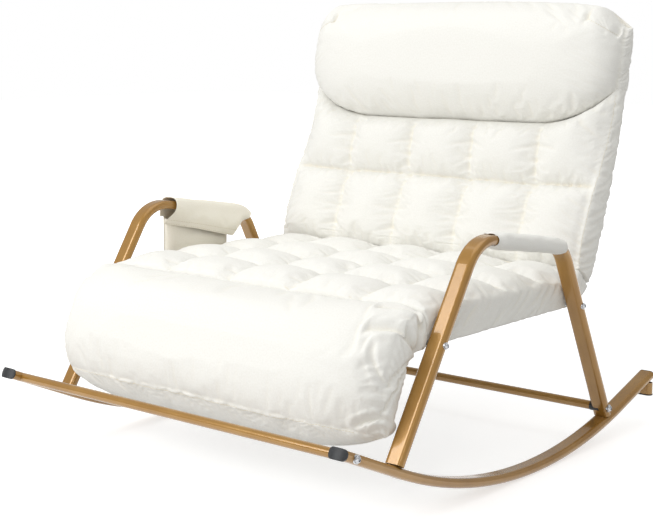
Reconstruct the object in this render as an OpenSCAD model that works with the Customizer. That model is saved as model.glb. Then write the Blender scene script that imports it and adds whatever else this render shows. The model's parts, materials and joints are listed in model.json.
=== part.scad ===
/* [Side frames] */
// Distance between the centre planes of the two side frames
frame_pitch = 917; // [840:1:1100]
// Width of the flat-oval side tube, measured across the chair
oval_w = 40; // [36:1:44]
// Thickness of the flat-oval side tube
oval_t = 20; // [18:0.5:22]
// Wall of every steel tube
tube_wall = 1.5; // [1:0.1:2]
// Outside diameter of the crossbars and of the cushion frame tubes
round_d = 20; // [18:0.5:22]

/* [Rockers] */
// Radius of the underside of the rockers
rocker_r = 1187; // [1100:1:1300]
// Angle from the floor contact to the front end of the curve
rocker_front_a = 24; // [23:0.1:26]
// Angle from the floor contact to the rear end of the curve
rocker_rear_a = 17.5; // [16.5:0.1:19]
// Distance from the floor contact forward to the front end of the tube
rocker_front_reach = 646; // [630:1:680]
// Distance from the floor contact back to the rear end of the tube
rocker_rear_reach = 504.5; // [490:0.5:540]
// How far the front end cap stands out of the tube
front_cap_l = 8; // [6:0.5:12]
// Height of the short stub tube under the rear end of a rocker
stub_h = 27; // [20:0.5:34]

/* [Arm loops] */
// Foot of the front leg, in front of the floor contact
front_leg_y = 485.5; // [470:0.5:500]
// Front upper corner of the arm loop, in front of the floor contact
arm_front_y = 236; // [220:1:250]
// Height of the front upper corner of the arm loop
arm_front_z = 519; // [505:1:540]
// Rear upper corner of the arm loop, behind the floor contact
arm_rear_y = 87; // [75:1:100]
// Height of the rear upper corner of the arm loop
arm_rear_z = 468.5; // [455:0.5:485]
// Foot of the rear leg, behind the floor contact
rear_leg_y = 294; // [285:1:305]
// Bend radius at the front of the armrest, on the tube's centre line
arm_front_r = 90; // [80:1:100]
// Bend radius at the rear of the armrest, on the tube's centre line
arm_rear_r = 78; // [70:1:90]

/* [Crossbars] */
// Front crossbar axis, measured back from the front end of the tube
front_bar_back = 27; // [22:0.5:40]
// Height of the rear crossbar axis
rear_bar_z = 78; // [74:0.5:84]
// Diameter of the crossbar bolts
bar_bolt_d = 8; // [6:0.5:9]

/* [Cushion frame] */
// Height of the seat rails
rail_z = 331; // [325:0.5:345]
// Front end of the straight part of the seat rails
rail_front_y = 365; // [362:1:375]
// Rear end of the straight part of the seat rails
rail_rear_y = 162.5; // [160:0.5:170]
// Distance of the rail centre lines from the sides of the cushion
rail_inset = 30; // [29:0.5:34]
// Angle that the seat frame turns down at the front
knee_turn = 66; // [60:1:72]
// Bend radius of the seat frame at the front
knee_r = 70; // [64:1:76]
// Straight length of the seat frame below its front bend
drop_l = 54; // [45:1:60]
// Bend radius at the corners of both cushion frames
corner_r = 60; // [50:1:70]
// Angle that the frame turns up behind the seat
hip_turn = 66; // [63:1:68]
// Bend radius behind the seat
hip_r = 120; // [112:1:126]
// Gentle angle that the back frame turns through above the hip bend
lumbar_turn = 14; // [12:1:16]
// Radius of the gentle curve of the back frame
lumbar_r = 1750; // [1700:10:1850]
// Diameter of the bolts that hold the cushion frame to the legs
seat_bolt_d = 6; // [5:0.5:7]

/* [Cushions] */
// Gap between the cushions and the side frames
cushion_gap = 6.5; // [5.5:0.5:12]
// Height of the tufted valleys of the seat above the rail axis
seat_pad = 72; // [66:1:80]
// Height of the tufted valleys of the back in front of the frame axis
back_pad = 58; // [52:1:66]
// Height of each sewn puff above its valleys
puff_h = 26; // [18:1:32]
// How far the head bolster stands in front of the back frame axis
head_bulge_h = 110; // [100:1:120]
// How far the front bolster stands in front of the seat frame axis
front_bulge_h = 96; // [86:1:104]
// Number of puffs across the seat and the back
puff_columns = 5; // [4:1:6]
// Number of puff rows along the seat
seat_rows = 4; // [3:1:4]
// Number of puff rows up the back
back_rows = 2; // [2:1:3]

/* [Arm sleeves] */
// Height of the padded sleeves
sleeve_h = 40; // [36:1:44]
// Padding of the sleeves beyond each side of the tube
sleeve_pad = 10; // [8:0.5:12]
// Depth of the side pocket below the armrest axis
pocket_drop = 160; // [130:1:180]

/* [Hidden] */

bronze = [0.68, 0.48, 0.24];
black = [0.07, 0.07, 0.07];
steel = [0.78, 0.78, 0.79];
cream = [0.94, 0.93, 0.89];
webbing = [0.8, 0.78, 0.72];

// Sides of the round sections, of the tight bends and of the long gentle curves
round_fn = 32;
bend_fn = 96;
curve_fn = 360;
$fn = round_fn;
// One overrun for all cuts
cut = 1;
// Bends are rolled a trace fatter than the straights, which run a little way into them
bend_swell = 0.15;
lap = 1;
sheet_swell = 0.02;
$swell = 0;
// Clearance between parts that touch
fit_gap = 0.2;
// Clearance of soft parts from their neighbours
soft_gap = 0.3;
// Gap left under a square-cut leg, filled by the weld
weld_gap = 0.2;

side_x = frame_pitch / 2;
cushion_w = frame_pitch - oval_w - 2 * cushion_gap;
oval_r = oval_t / 2;
round_r = round_d / 2;
axis_r = rocker_r - oval_r;

// Directions and routes in the side view, where a point is [Y, Z]
function dir(a) = [cos(a), sin(a)];
function heading(p, q) = atan2(q[1] - p[1], q[0] - p[0]);
function bend_step(r, t) = [r * abs(t) * PI / 180, t];
function step_r(step) = step[0] * 180 / PI / abs(step[1]);
function step_end(p, a, step) = step[1] == 0
    ? p + step[0] * dir(a)
    : p + 2 * step_r(step) * sin(abs(step[1]) / 2) * dir(a + step[1] / 2);
function part_step(step, l) = [l, step[1] * l / step[0]];
// Point and heading at a distance l along a route of [length, turn] steps
function along(l, p, a, steps, i = 0) =
    i == len(steps) - 1 || l <= steps[i][0]
    ? let (s = steps[i][1] == 0 || l > steps[i][0] ? [l, 0] : part_step(steps[i], l))
      l > steps[i][0] && steps[i][1] != 0
      ? let (q = step_end(p, a, steps[i]), b = a + steps[i][1]) [q + (l - steps[i][0]) * dir(b), b]
      : [step_end(p, a, s), a + s[1]]
    : along(l - steps[i][0], step_end(p, a, steps[i]), a + steps[i][1], steps, i + 1);
function total(v, i = 0) = i == len(v) ? 0 : v[i] + total(v, i + 1);
function lengths(steps) = [for (s = steps) s[0]];

// Height of a rocker surface over the floor, depth d above its underside
function curve_end(d, a) = (rocker_r - d) * sin(a);
function rocker_z(y, d) =
    let (a = y < 0 ? rocker_front_a : rocker_rear_a, e = curve_end(d, a), r = rocker_r - d)
    abs(y) < e ? rocker_r - sqrt(r * r - y * y) : rocker_r - r * cos(a) + (abs(y) - e) * tan(a);

front_curve_end = [-axis_r * sin(rocker_front_a), rocker_r - axis_r * cos(rocker_front_a)];
rear_curve_end = [axis_r * sin(rocker_rear_a), rocker_r - axis_r * cos(rocker_rear_a)];
front_heading = 180 - rocker_front_a;
rocker_front_l = (rocker_front_reach + front_curve_end[0]) / cos(rocker_front_a);
rocker_rear_l = (rocker_rear_reach - rear_curve_end[0]) / cos(rocker_rear_a);
front_end = front_curve_end + rocker_front_l * dir(front_heading);
rear_end = rear_curve_end + rocker_rear_l * dir(rocker_rear_a);
front_bar = front_end - front_bar_back * dir(front_heading);

// End caps
cap_rim = 1.2;
cap_shank_l = 22;
cap_shank_wall = 2;
cap_crown_r = 46;
rear_rim_l = 2;
cap_w = oval_w + 2 * cap_rim;
cap_t = oval_t + 2 * cap_rim;

// Overall length, which sets the origin under the middle of the chair
y_min = (front_end + front_cap_l * dir(front_heading))[0] - cap_t / 2 * sin(rocker_front_a);
y_max = (rear_end + rear_rim_l * dir(rocker_rear_a))[0] + oval_r * sin(rocker_rear_a);
y_shift = -(y_min + y_max) / 2;

// Arm loop route, with each foot lifted until its square cut clears the rocker
arm_front = [-arm_front_y, arm_front_z];
arm_rear = [arm_rear_y, arm_rear_z];
function foot(y, corner) =
    let (p = [y, rocker_z(y, oval_t)], n = oval_r * dir(heading(p, corner) - 90))
    [y, weld_gap + max(rocker_z(y + n[0], oval_t) - n[1], rocker_z(y - n[0], oval_t) + n[1])];
front_foot = foot(-front_leg_y, arm_front);
rear_foot = foot(rear_leg_y, arm_rear);
front_leg_a = heading(front_foot, arm_front);
arm_a = heading(arm_front, arm_rear);
rear_leg_a = heading(arm_rear, rear_foot);
arm_front_turn = arm_a - front_leg_a;
arm_rear_turn = rear_leg_a - arm_a;
arm_front_cut = arm_front_r * tan(abs(arm_front_turn) / 2);
arm_rear_cut = arm_rear_r * tan(abs(arm_rear_turn) / 2);
loop_steps = [
    [norm(arm_front - front_foot) - arm_front_cut, 0],
    bend_step(arm_front_r, arm_front_turn),
    [norm(arm_rear - arm_front) - arm_front_cut - arm_rear_cut, 0],
    bend_step(arm_rear_r, arm_rear_turn),
    [norm(rear_foot - arm_rear) - arm_rear_cut, 0]
];
function front_leg_at(z) = front_foot[0] + (z - front_foot[1]) / tan(front_leg_a);
function rear_leg_at(z) = rear_foot[0] + (z - rear_foot[1]) / tan(rear_leg_a);
rear_bar = [rear_leg_at(rear_bar_z), rear_bar_z];
seat_bolt_ys = [front_leg_at(rail_z), rear_leg_at(rail_z)];

// Stub foot under the rear end of each rocker
stub_inset = 8;
stub_y = rear_end[0] - stub_inset;
stub_top = rocker_z(stub_y - oval_r, 0) - weld_gap;
stub_rim_h = 3;

// Fasteners
bar_head_d = 14;
bar_head_h = 5;
bar_washer_d = 17;
bar_washer_h = 1.6;
bar_washer_sink = 2.2;
bar_nut_l = 20;
bar_engage = 14;
seat_head_d = 11;
seat_head_h = 4;
seat_washer_d = 14;
seat_washer_h = 1.4;
seat_washer_sink = 1.6;
seat_spacer_wall = 3;
seat_engage = 10;
insert_l = 12;
insert_wall = 2;
screw_d = 5;
screw_head_d = 9;
screw_head_h = 3;
cross_d = 16;
joiner_l = 130;
joiner_screw_pitch = 70;
bar_cap_l = 4;
bar_cap_rim = 0.7;

// Spine of the cushion frame: the centre line that rails and cushions follow
rail_x = cushion_w / 2 - rail_inset;
rail_l = rail_front_y + rail_rear_y;
back_straight = 90;
rail_front = [-rail_front_y, rail_z];
rear_steps = [
    [rail_l, 0], bend_step(hip_r, hip_turn), bend_step(lumbar_r, lumbar_turn), [back_straight, 0]
];
front_steps = [bend_step(knee_r, knee_turn), [drop_l + corner_r, 0]];
back_l = total(lengths(rear_steps));
drop_end = total(lengths(front_steps));
// Point and heading at a distance s behind the front end of the rails
function spine(s) = s >= 0
    ? along(s, rail_front, 0, rear_steps)
    : let (q = along(-s, rail_front, 180, front_steps)) [q[0], q[1] - 180];
function on_spine(s, off, x) =
    let (q = spine(s), p = q[0] + off * dir(q[1] + 90)) [x, p[0], p[1]];

// Stations along the spine where the cushions meet
front_seam = 5;
hip_share = 0.68;
hip_seam = rail_l + rear_steps[1][0] * hip_share;
back_l_tufted = 304;
head_over = 87;
bolster_over = 58;
joint_back = 82;
head_seam = rail_l + rear_steps[1][0] + back_l_tufted;
head_end = back_l + head_over;
bolster_end = -(drop_end + bolster_over);
joint_s = rail_l - joint_back;

// Thin layers on the frame
sling_t = 1.2;
hem_r = round_r + soft_gap + sling_t;
pad_face = hem_r + soft_gap;
lip_face = hem_r + soft_gap + sling_t;
lip_w = 15.5;
lip_x = cushion_w / 2 - lip_w;
sling_end = 10;

module in_frame() {
    translate([0, y_shift, 0]) children();
}

// Side view to chair: drawing X becomes Y and drawing Y becomes Z
module side_view(x) {
    translate([x, 0, 0]) rotate([90, 0, 90]) children();
}

module both_sides() {
    for (side = [-1, 1]) mirror([side < 0 ? 1 : 0, 0, 0]) children();
}

module flat_oval(w, t) {
    d = t + 2 * $swell;
    square([w - t, d], center = true);
    for (side = [-1, 1]) translate([side * (w - t) / 2, 0]) circle(d = d, $fn = round_fn);
}

module oval_tube() {
    difference() {
        flat_oval(oval_w, oval_t);
        flat_oval(oval_w - 2 * tube_wall, oval_t - 2 * tube_wall);
    }
}

module round_tube(d) {
    difference() {
        circle(d = d + 2 * $swell, $fn = round_fn);
        circle(d = d - 2 * tube_wall + 2 * $swell, $fn = round_fn);
    }
}

// Carries a flat section along one step of a route; its Y is the left-hand side
module one_step(p, a, step) {
    turn = step[1];
    r = turn == 0 ? 0 : step_r(step);
    if (turn == 0)
        translate([p[0], p[1], 0]) rotate([0, 0, a]) rotate([0, 90, 0])
            linear_extrude(height = step[0]) children();
    else {
        c = p + r * sign(turn) * dir(a + 90);
        translate([c[0], c[1], 0]) rotate([0, 0, turn > 0 ? a - 90 : a + 90 + turn])
            rotate_extrude(angle = abs(turn), $fn = r < 4 * hip_r ? bend_fn : curve_fn)
                translate([r, 0]) rotate(sign(turn) * 90) children();
    }
}

// Runs a step on past its start and end, so that it laps into its neighbours
module lapped_step(p, a, step, before, after) {
    back = step[1] == 0 ? 0 : before / step[0] * step[1];
    start = step_end(p, a + 180, [before, -back]);
    long = before + step[0] + after;
    one_step(before == 0 ? p : start, a - back, [long, step[1] * long / step[0]]) children();
}

// Even steps lap into the odd ones, which are the fatter; first and last say if an end laps too
module route(p, a, steps, first = false, last = false, i = 0) {
    if (i < len(steps)) {
        if (i % 2 == 1) let ($swell = bend_swell) one_step(p, a, steps[i]) children();
        else lapped_step(p, a, steps[i], i > 0 || first ? lap : 0, i < len(steps) - 1 || last ? lap : 0)
            children();
        route(step_end(p, a, steps[i]), a + steps[i][1], steps, first, last, i + 1) children();
    }
}

// A rod along X through a point of the side view
module rod(p, d, x0, x1) {
    translate([x0, p[0], p[1]]) rotate([0, 90, 0]) cylinder(d = d, h = x1 - x0);
}

module rocker_bar() {
    bow = [axis_r * (rocker_front_a + rocker_rear_a) * PI / 180, rocker_front_a + rocker_rear_a];
    route(front_end, -rocker_front_a, [[rocker_front_l, 0], bow, [rocker_rear_l, 0]]) children();
}

module rocker(side) {
    difference() {
        side_view(side * side_x) rocker_bar() oval_tube();
        rod(front_bar, bar_bolt_d + 2 * fit_gap, side * side_x - oval_w, side * side_x + oval_w);
    }
}

module left_rocker() {
    color(bronze) in_frame() rocker(1);
}

module right_rocker() {
    color(bronze) in_frame() rocker(-1);
}

module arm_loop(side) {
    difference() {
        side_view(side * side_x) route(front_foot, front_leg_a, loop_steps) oval_tube();
        for (y = seat_bolt_ys)
            rod([y, rail_z], seat_bolt_d + 2 * fit_gap, side * side_x - oval_w, side * side_x + oval_w);
        rod(rear_bar, bar_bolt_d + 2 * fit_gap, side * side_x - oval_w, side * side_x + oval_w);
    }
}

module left_arm_loop() {
    color(bronze) in_frame() arm_loop(1);
}

module right_arm_loop() {
    color(bronze) in_frame() arm_loop(-1);
}

// Solid of a straight stretch of side tube, used to cope what meets it
module cope_oval(p, a, grow) {
    both_sides() side_view(side_x)
        one_step(p - bar_washer_d * 2 * dir(a), a, [bar_washer_d * 4, 0])
            flat_oval(oval_w + 2 * grow, oval_t + 2 * grow);
}

module front_crossbar() {
    color(bronze) in_frame() difference() {
        rod(front_bar, round_d, -side_x, side_x);
        rod(front_bar, round_d - 2 * tube_wall, -side_x - cut, side_x + cut);
        cope_oval(front_bar, front_heading, fit_gap);
    }
}

bar_face = side_x - oval_w / 2;
rear_bar_l = 2 * (bar_face - bar_cap_l);

module rear_crossbar() {
    color(bronze) in_frame() difference() {
        rod(rear_bar, round_d, -rear_bar_l / 2, rear_bar_l / 2);
        rod(rear_bar, round_d - 2 * tube_wall, -rear_bar_l / 2 - cut, rear_bar_l / 2 + cut);
    }
}

module rear_crossbar_caps() {
    color(black) in_frame() difference() {
        both_sides() union() {
            rod(rear_bar, round_d + 2 * bar_cap_rim, rear_bar_l / 2 + fit_gap, side_x);
            rod(rear_bar, round_d - 2 * tube_wall - 2 * fit_gap,
                rear_bar_l / 2 - bar_cap_l, rear_bar_l / 2 + cut);
        }
        rod(rear_bar, bar_bolt_d + 2 * fit_gap, -side_x, side_x);
        cope_oval(rear_bar, rear_leg_a, fit_gap);
    }
}

// Threaded slugs pressed into the crossbar ends
module bar_nut(p, x) {
    both_sides() difference() {
        rod(p, round_d - 2 * tube_wall - 2 * fit_gap, x - bar_nut_l, x);
        rod(p, bar_bolt_d + 2 * fit_gap, x - bar_nut_l - cut, x + cut);
    }
}

front_nut_x = bar_face - fit_gap;
rear_nut_x = rear_bar_l / 2 - bar_cap_l - fit_gap;

module crossbar_nuts() {
    color(steel) in_frame() {
        bar_nut(front_bar, front_nut_x);
        bar_nut(rear_bar, rear_nut_x);
    }
}

// Button-head bolt with a hexagon socket, its head resting at x and its shank running inwards
crown_shares = [[0, 1], [0.45, 1], [0.72, 0.82], [0.9, 0.5], [1, 0.12], [1, 0]];
socket_d_share = 0.55;
socket_h_share = 0.55;
module button_bolt(p, d, head_d, head_h, x, l) {
    both_sides() translate([x, p[0], p[1]]) rotate([0, 90, 0]) difference() {
        rotate_extrude() polygon(concat(
            [for (c = crown_shares) [c[0] * head_d / 2, c[1] * head_h]], [[d / 2, 0], [d / 2, -l], [0, -l]]));
        translate([0, 0, head_h * (1 - socket_h_share)])
            cylinder(d = head_d * socket_d_share, h = head_h, $fn = 6);
    }
}

outer_face = side_x + oval_w / 2;
bar_seat = outer_face + bar_washer_h + fit_gap;
seat_seat = outer_face + seat_washer_h + fit_gap;

module crossbar_bolts() {
    color(steel) in_frame() {
        button_bolt(front_bar, bar_bolt_d, bar_head_d, bar_head_h, bar_seat + fit_gap,
            bar_seat - front_nut_x + bar_engage);
        button_bolt(rear_bar, bar_bolt_d, bar_head_d, bar_head_h, bar_seat + fit_gap,
            bar_seat - rear_nut_x + bar_engage);
    }
}

// Saddle washer: flat outside, hollowed to sit on the round edge of the tube
module saddle_washer(p, a, bore_d, d, h, sink) {
    difference() {
        both_sides() rod(p, d, outer_face - sink, outer_face + h);
        both_sides() rod(p, bore_d + 2 * fit_gap, outer_face - sink - cut, outer_face + h + cut);
        cope_oval(p, a, fit_gap);
    }
}

module crossbar_washers() {
    color(steel) in_frame() {
        saddle_washer(front_bar, front_heading, bar_bolt_d, bar_washer_d, bar_washer_h, bar_washer_sink);
        saddle_washer(rear_bar, rear_leg_a, bar_bolt_d, bar_washer_d, bar_washer_h, bar_washer_sink);
    }
}

// Hollow plug shank that grips the inside of the flat-oval tube
module cap_shank() {
    difference() {
        flat_oval(oval_w - 2 * tube_wall - 2 * fit_gap, oval_t - 2 * tube_wall - 2 * fit_gap);
        flat_oval(oval_w - 2 * tube_wall - 2 * cap_shank_wall, oval_t - 2 * tube_wall - 2 * cap_shank_wall);
    }
}

module front_cap() {
    side_view(side_x) {
        intersection() {
            one_step(front_end + fit_gap * dir(front_heading), front_heading, [front_cap_l - fit_gap, 0])
                flat_oval(cap_w, cap_t);
            translate(front_end + (front_cap_l - cap_crown_r) * dir(front_heading)) rotate([0, 0, front_heading])
                rotate([90, 0, 0]) translate([0, 0, -cap_t]) cylinder(r = cap_crown_r, h = 2 * cap_t, $fn = curve_fn);
        }
        one_step(front_end - cap_shank_l * dir(front_heading), front_heading, [cap_shank_l + 2 * fit_gap, 0])
            cap_shank();
    }
}

module front_end_caps() {
    color(black) in_frame() both_sides() front_cap();
}

module rear_cap() {
    side_view(side_x) {
        one_step(rear_end + fit_gap * dir(rocker_rear_a), rocker_rear_a, [rear_rim_l - fit_gap, 0])
            difference() {
                flat_oval(oval_w, oval_t);
                flat_oval(oval_w - 2 * tube_wall - 2 * cap_shank_wall, oval_t - 2 * tube_wall - 2 * cap_shank_wall);
            }
        one_step(rear_end - cap_shank_l * dir(rocker_rear_a), rocker_rear_a, [cap_shank_l + rear_rim_l / 2, 0])
            cap_shank();
    }
}

module rear_end_caps() {
    color(black) in_frame() both_sides() rear_cap();
}

module rear_stub_feet() {
    color(bronze) in_frame() both_sides()
        translate([side_x, stub_y, stub_top - stub_h]) linear_extrude(height = stub_h) oval_tube();
}

module stub_foot_caps() {
    color(black) in_frame() both_sides() translate([side_x, stub_y, stub_top - stub_h]) {
        translate([0, 0, -stub_rim_h]) linear_extrude(height = stub_rim_h - fit_gap)
            flat_oval(oval_w + cap_rim, oval_t + cap_rim);
        translate([0, 0, -stub_rim_h / 2]) linear_extrude(height = stub_h / 2) cap_shank();
    }
}

// Corner bend from a side tube towards the middle, in the plane of heading q[1] and X
module u_corner(q, over) {
    p = q[0];
    over_a = over * 180 / PI / corner_r;
    translate([0, p[0], p[1]]) rotate([q[1], 0, 0]) translate([rail_x - corner_r, 0, 0])
        rotate([0, 0, -over_a]) rotate_extrude(angle = 90 + 2 * over_a, $fn = bend_fn)
            translate([corner_r, 0]) round_tube(round_d);
}

module u_bar(q, over) {
    p = q[0] + corner_r * dir(q[1]);
    half = rail_x - corner_r + over;
    translate([-half, p[0], p[1]]) rotate([0, 90, 0]) linear_extrude(height = 2 * half) round_tube(round_d);
}

module seat_frame() {
    low = spine(-(drop_end - corner_r));
    turned = [low[0], low[1] + 180];
    color(bronze) in_frame() difference() {
        union() {
            both_sides() {
                side_view(rail_x)
                    route(low[0], low[1], [[drop_l, 0], bend_step(knee_r, -knee_turn), [joint_s, 0]], first = true)
                        round_tube(round_d);
                let ($swell = bend_swell) u_corner(turned, 0);
            }
            u_bar(turned, lap);
        }
        for (y = seat_bolt_ys) rail_hole(y);
        screw_holes();
    }
}

module back_frame() {
    start = spine(joint_s + fit_gap);
    top = spine(back_l - corner_r);
    color(bronze) in_frame() difference() {
        union() {
            both_sides() {
                side_view(rail_x)
                    route(start[0], start[1], [
                        [rail_l - joint_s - fit_gap, 0], rear_steps[1], rear_steps[2], [back_straight - corner_r, 0]
                    ]) round_tube(round_d);
                u_corner(top, lap);
            }
            let ($swell = bend_swell) u_bar(top, 0);
        }
        for (y = seat_bolt_ys) rail_hole(y);
        screw_holes();
    }
}

// Bolt hole through the outer wall of each rail, sized for the threaded insert
insert_d = seat_bolt_d + 2 * insert_wall;
module rail_hole(y) {
    rod([y, rail_z], insert_d + 2 * fit_gap, rail_x, rail_x + round_d);
    rod([y, rail_z], insert_d + 2 * fit_gap, -rail_x - round_d, -rail_x);
}

joiner_ys = [for (k = [-0.5, 0.5]) joint_s - rail_front_y + k * joiner_screw_pitch];
module screw_holes() {
    both_sides() for (y = joiner_ys)
        translate([rail_x, y, rail_z - round_d]) cylinder(d = screw_d + 2 * fit_gap, h = round_d);
}

module frame_joiners() {
    color(steel) in_frame() both_sides() difference() {
        translate([rail_x, joint_s - rail_front_y + joiner_l / 2, rail_z]) rotate([90, 0, 0])
            cylinder(d = round_d - 2 * tube_wall - 2 * fit_gap, h = joiner_l);
        for (y = joiner_ys)
            translate([rail_x, y, rail_z - round_d]) cylinder(d = screw_d + 2 * fit_gap, h = round_d);
    }
}

module joiner_screws() {
    color(steel) in_frame() both_sides() for (y = joiner_ys) translate([rail_x, y, rail_z - round_r]) {
        translate([0, 0, -fit_gap]) cylinder(d = screw_d, h = round_r - cut);
        difference() {
            translate([0, 0, -screw_head_h]) cylinder(d1 = screw_d, d2 = screw_head_d, h = screw_head_h);
            side_cope();
        }
    }
}

// Underside of the rail, cut out of the heads that sit on it
module side_cope() {
    rotate([90, 0, 0]) translate([0, round_r, -round_d]) cylinder(d = round_d + 2 * fit_gap, h = 2 * round_d);
}

module cross_tube(p) {
    difference() {
        rod(p, cross_d, -rail_x, rail_x);
        rod(p, cross_d - 2 * tube_wall, -rail_x - cut, rail_x + cut);
        children();
    }
}

seat_cross_back = 150;
back_cross_up = 70;
seat_cross_s = rail_l - seat_cross_back;
back_cross_s = rail_l + rear_steps[1][0] + back_cross_up;

// Solid stretch of rail, step i of the spine, used to cope what meets it
module rail_solid(i, d) {
    start = i == 0 ? [rail_front - [round_d, 0], 0] : spine(rail_l + rear_steps[1][0]);
    step = i == 0 ? [rail_l + round_d, 0] : rear_steps[i];
    both_sides() side_view(rail_x) one_step(start[0], start[1], step) circle(d = d, $fn = round_fn);
}

module seat_cross_tube() {
    color(bronze) in_frame() cross_tube(spine(seat_cross_s)[0]) rail_solid(0, round_d + 2 * fit_gap);
}

module back_cross_tube() {
    color(bronze) in_frame() cross_tube(spine(back_cross_s)[0]) rail_solid(2, round_d + 2 * fit_gap);
}

module seat_bolts() {
    color(steel) in_frame() for (y = seat_bolt_ys)
        button_bolt([y, rail_z], seat_bolt_d, seat_head_d, seat_head_h, seat_seat + fit_gap,
            seat_seat - rail_x - round_r + seat_engage);
}

module seat_washers() {
    color(steel) in_frame() for (k = [0, 1])
        saddle_washer([seat_bolt_ys[k], rail_z], k == 0 ? front_leg_a : rear_leg_a,
            seat_bolt_d, seat_washer_d, seat_washer_h, seat_washer_sink);
}

// Spacer tubes between the legs and the rails, coped at both ends
module seat_spacers() {
    d = seat_bolt_d + 2 * fit_gap;
    color(steel) in_frame() difference() {
        both_sides() for (y = seat_bolt_ys)
            rod([y, rail_z], d + 2 * seat_spacer_wall, rail_x, side_x);
        for (y = seat_bolt_ys) rod([y, rail_z], d, -side_x - cut, side_x + cut);
        cope_oval([seat_bolt_ys[0], rail_z], front_leg_a, fit_gap);
        cope_oval([seat_bolt_ys[1], rail_z], rear_leg_a, fit_gap);
        rail_solid(0, round_d + 2 * fit_gap);
    }
}

module rail_inserts() {
    x1 = rail_x + round_r - tube_wall;
    color(steel) in_frame() both_sides() for (y = seat_bolt_ys) difference() {
        rod([y, rail_z], insert_d, x1 - insert_l, x1);
        rod([y, rail_z], seat_bolt_d + 2 * fit_gap, x1 - insert_l - cut, x1 + cut);
    }
}

// Sections of the sling: a stretched panel, and the panel with a hem round each rail
module sheet_section(half, y) {
    translate([-half - $swell, y - $swell]) square([2 * half + 2 * $swell, sling_t + 2 * $swell]);
}

module sling_section() {
    sheet_section(rail_x, round_r + soft_gap);
    for (side = [-1, 1]) translate([side * rail_x, 0]) difference() {
        circle(r = hem_r, $fn = round_fn);
        circle(r = round_r + soft_gap, $fn = round_fn);
    }
}

sling_setback = 30;
sling_front = front_seam + sling_setback;
hem_end = joint_s - joiner_screw_pitch / 2 - sling_end;

module seat_sling() {
    a = spine(sling_front);
    b = spine(hem_end);
    color(webbing) in_frame() side_view(0) {
        route(a[0], 0, [[hem_end - sling_front, 0]]) sling_section();
        route(b[0] - [lap, 0], 0, [[rail_l - hem_end + lap, 0]])
            let ($swell = sheet_swell) sheet_section(rail_x - lap, round_r + soft_gap);
    }
}

module back_sling() {
    a = spine(rail_l + rear_steps[1][0]);
    color(webbing) in_frame() difference() {
        side_view(0) route(a[0], a[1], [rear_steps[2]]) sling_section();
        rod(spine(back_cross_s)[0], cross_d + 2 * soft_gap, -rail_x, rail_x);
    }
}

// Cushions: rings of points across the spine, joined into one closed skin
function bump(t) = 1 - pow(abs(2 * t - 1), 2.4);
function within(t, n) = t * n - floor(min(t * n, n - 0.001));
// Rows of puffs, the first and the last of which may be longer than the others
function row_edge(i, rows) =
    i == 0 ? 0 : i == rows[0] ? 1 : (rows[1] + i - 1) / (rows[0] - 2 + rows[1] + rows[2]);
function row_of(t, rows) = max([for (i = [0:rows[0] - 1]) t >= row_edge(i, rows) ? i : 0]);
function in_row(t, rows) =
    let (i = row_of(t, rows)) (t - row_edge(i, rows)) / (row_edge(i + 1, rows) - row_edge(i, rows));
function row_stations(a, b, rows, k) = [
    a, for (i = [0:rows[0] - 1], j = [1:k]) mix(a, b, mix(row_edge(i, rows), row_edge(i + 1, rows), j / k))
];
function super_arc(t) = pow(max(0, 1 - pow(abs(2 * t - 1), 2.6)), 1 / 2.6);
function mix(a, b, t) = a + (b - a) * t;
function clamp(t) = max(0, min(1, t));

half_w = cushion_w / 2;
column_w = 0.208 * cushion_w;
outer_column = (cushion_w - column_w * (puff_columns - 2)) / 2;
draw_in = 6;
fold = 0.5;

// Share of a puff's height at x, zero on the seams between columns
function column_puff(x) =
    let (e = half_w - outer_column)
    abs(x) > e ? bump((abs(x) - e) / outer_column)
               : bump(within((x + e) / (2 * e), puff_columns - 2));

quilt_xs = let (e = half_w - outer_column, k = (puff_columns - 2) * 4) concat(
    [-half_w, -lip_x, -lip_x + fold],
    [for (t = [0.3, 0.55, 0.8]) mix(-half_w, -e, t)],
    [for (i = [0:k]) mix(-e, e, i / k)],
    [for (t = [0.2, 0.45, 0.7]) mix(e, half_w, t)],
    [lip_x - fold, lip_x, half_w]
);
plain_shares = [-0.86, -0.74, -0.5, -0.25, 0, 0.25, 0.5, 0.74, 0.86];
plain_xs = concat([-half_w, -lip_x, -lip_x + fold], half_w * plain_shares, [lip_x - fold, lip_x, half_w]);

function drawn(x) = abs(x) >= half_w ? sign(x) * (half_w - draw_in) : x;
// One ring; at gives the place on the spine that a station has at x
function ring(s, xs, top, under, at) = concat(
    [for (x = xs) on_spine(at(s, x), top(s, x), drawn(x))],
    [on_spine(at(s, half_w), (top(s, half_w) + under(s, half_w)) / 2, half_w)],
    [for (i = [len(xs) - 1:-1:0]) on_spine(at(s, xs[i]), under(s, xs[i]), drawn(xs[i]))],
    [on_spine(at(s, -half_w), (top(s, -half_w) + under(s, -half_w)) / 2, -half_w)]
);

module pad(ss, xs, top, under, at = function(s, x) s) {
    n = len(xs);
    m = 2 * n + 2;
    rows = len(ss);
    points = [for (s = ss) each ring(s, xs, top, under, at)];
    sides = [for (r = [0:rows - 2], k = [0:m - 1]) let (a = r * m + k, b = r * m + (k + 1) % m)
        each [[a, b, b + m], [a, b + m, a + m]]];
    first = [for (i = [0:n - 2]) let (j = 2 * n - i) each [[i, j, i + 1], [j, j - 1, i + 1]]];
    edges = [[n - 1, n + 1, n], [0, 2 * n + 1, 2 * n]];
    end = concat(first, edges);
    last = [for (f = end) [for (k = [2:-1:0]) f[k] + (rows - 1) * m]];
    polyhedron(points = points, faces = [for (f = concat(sides, end, last)) [f[2], f[1], f[0]]]);
}

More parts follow.
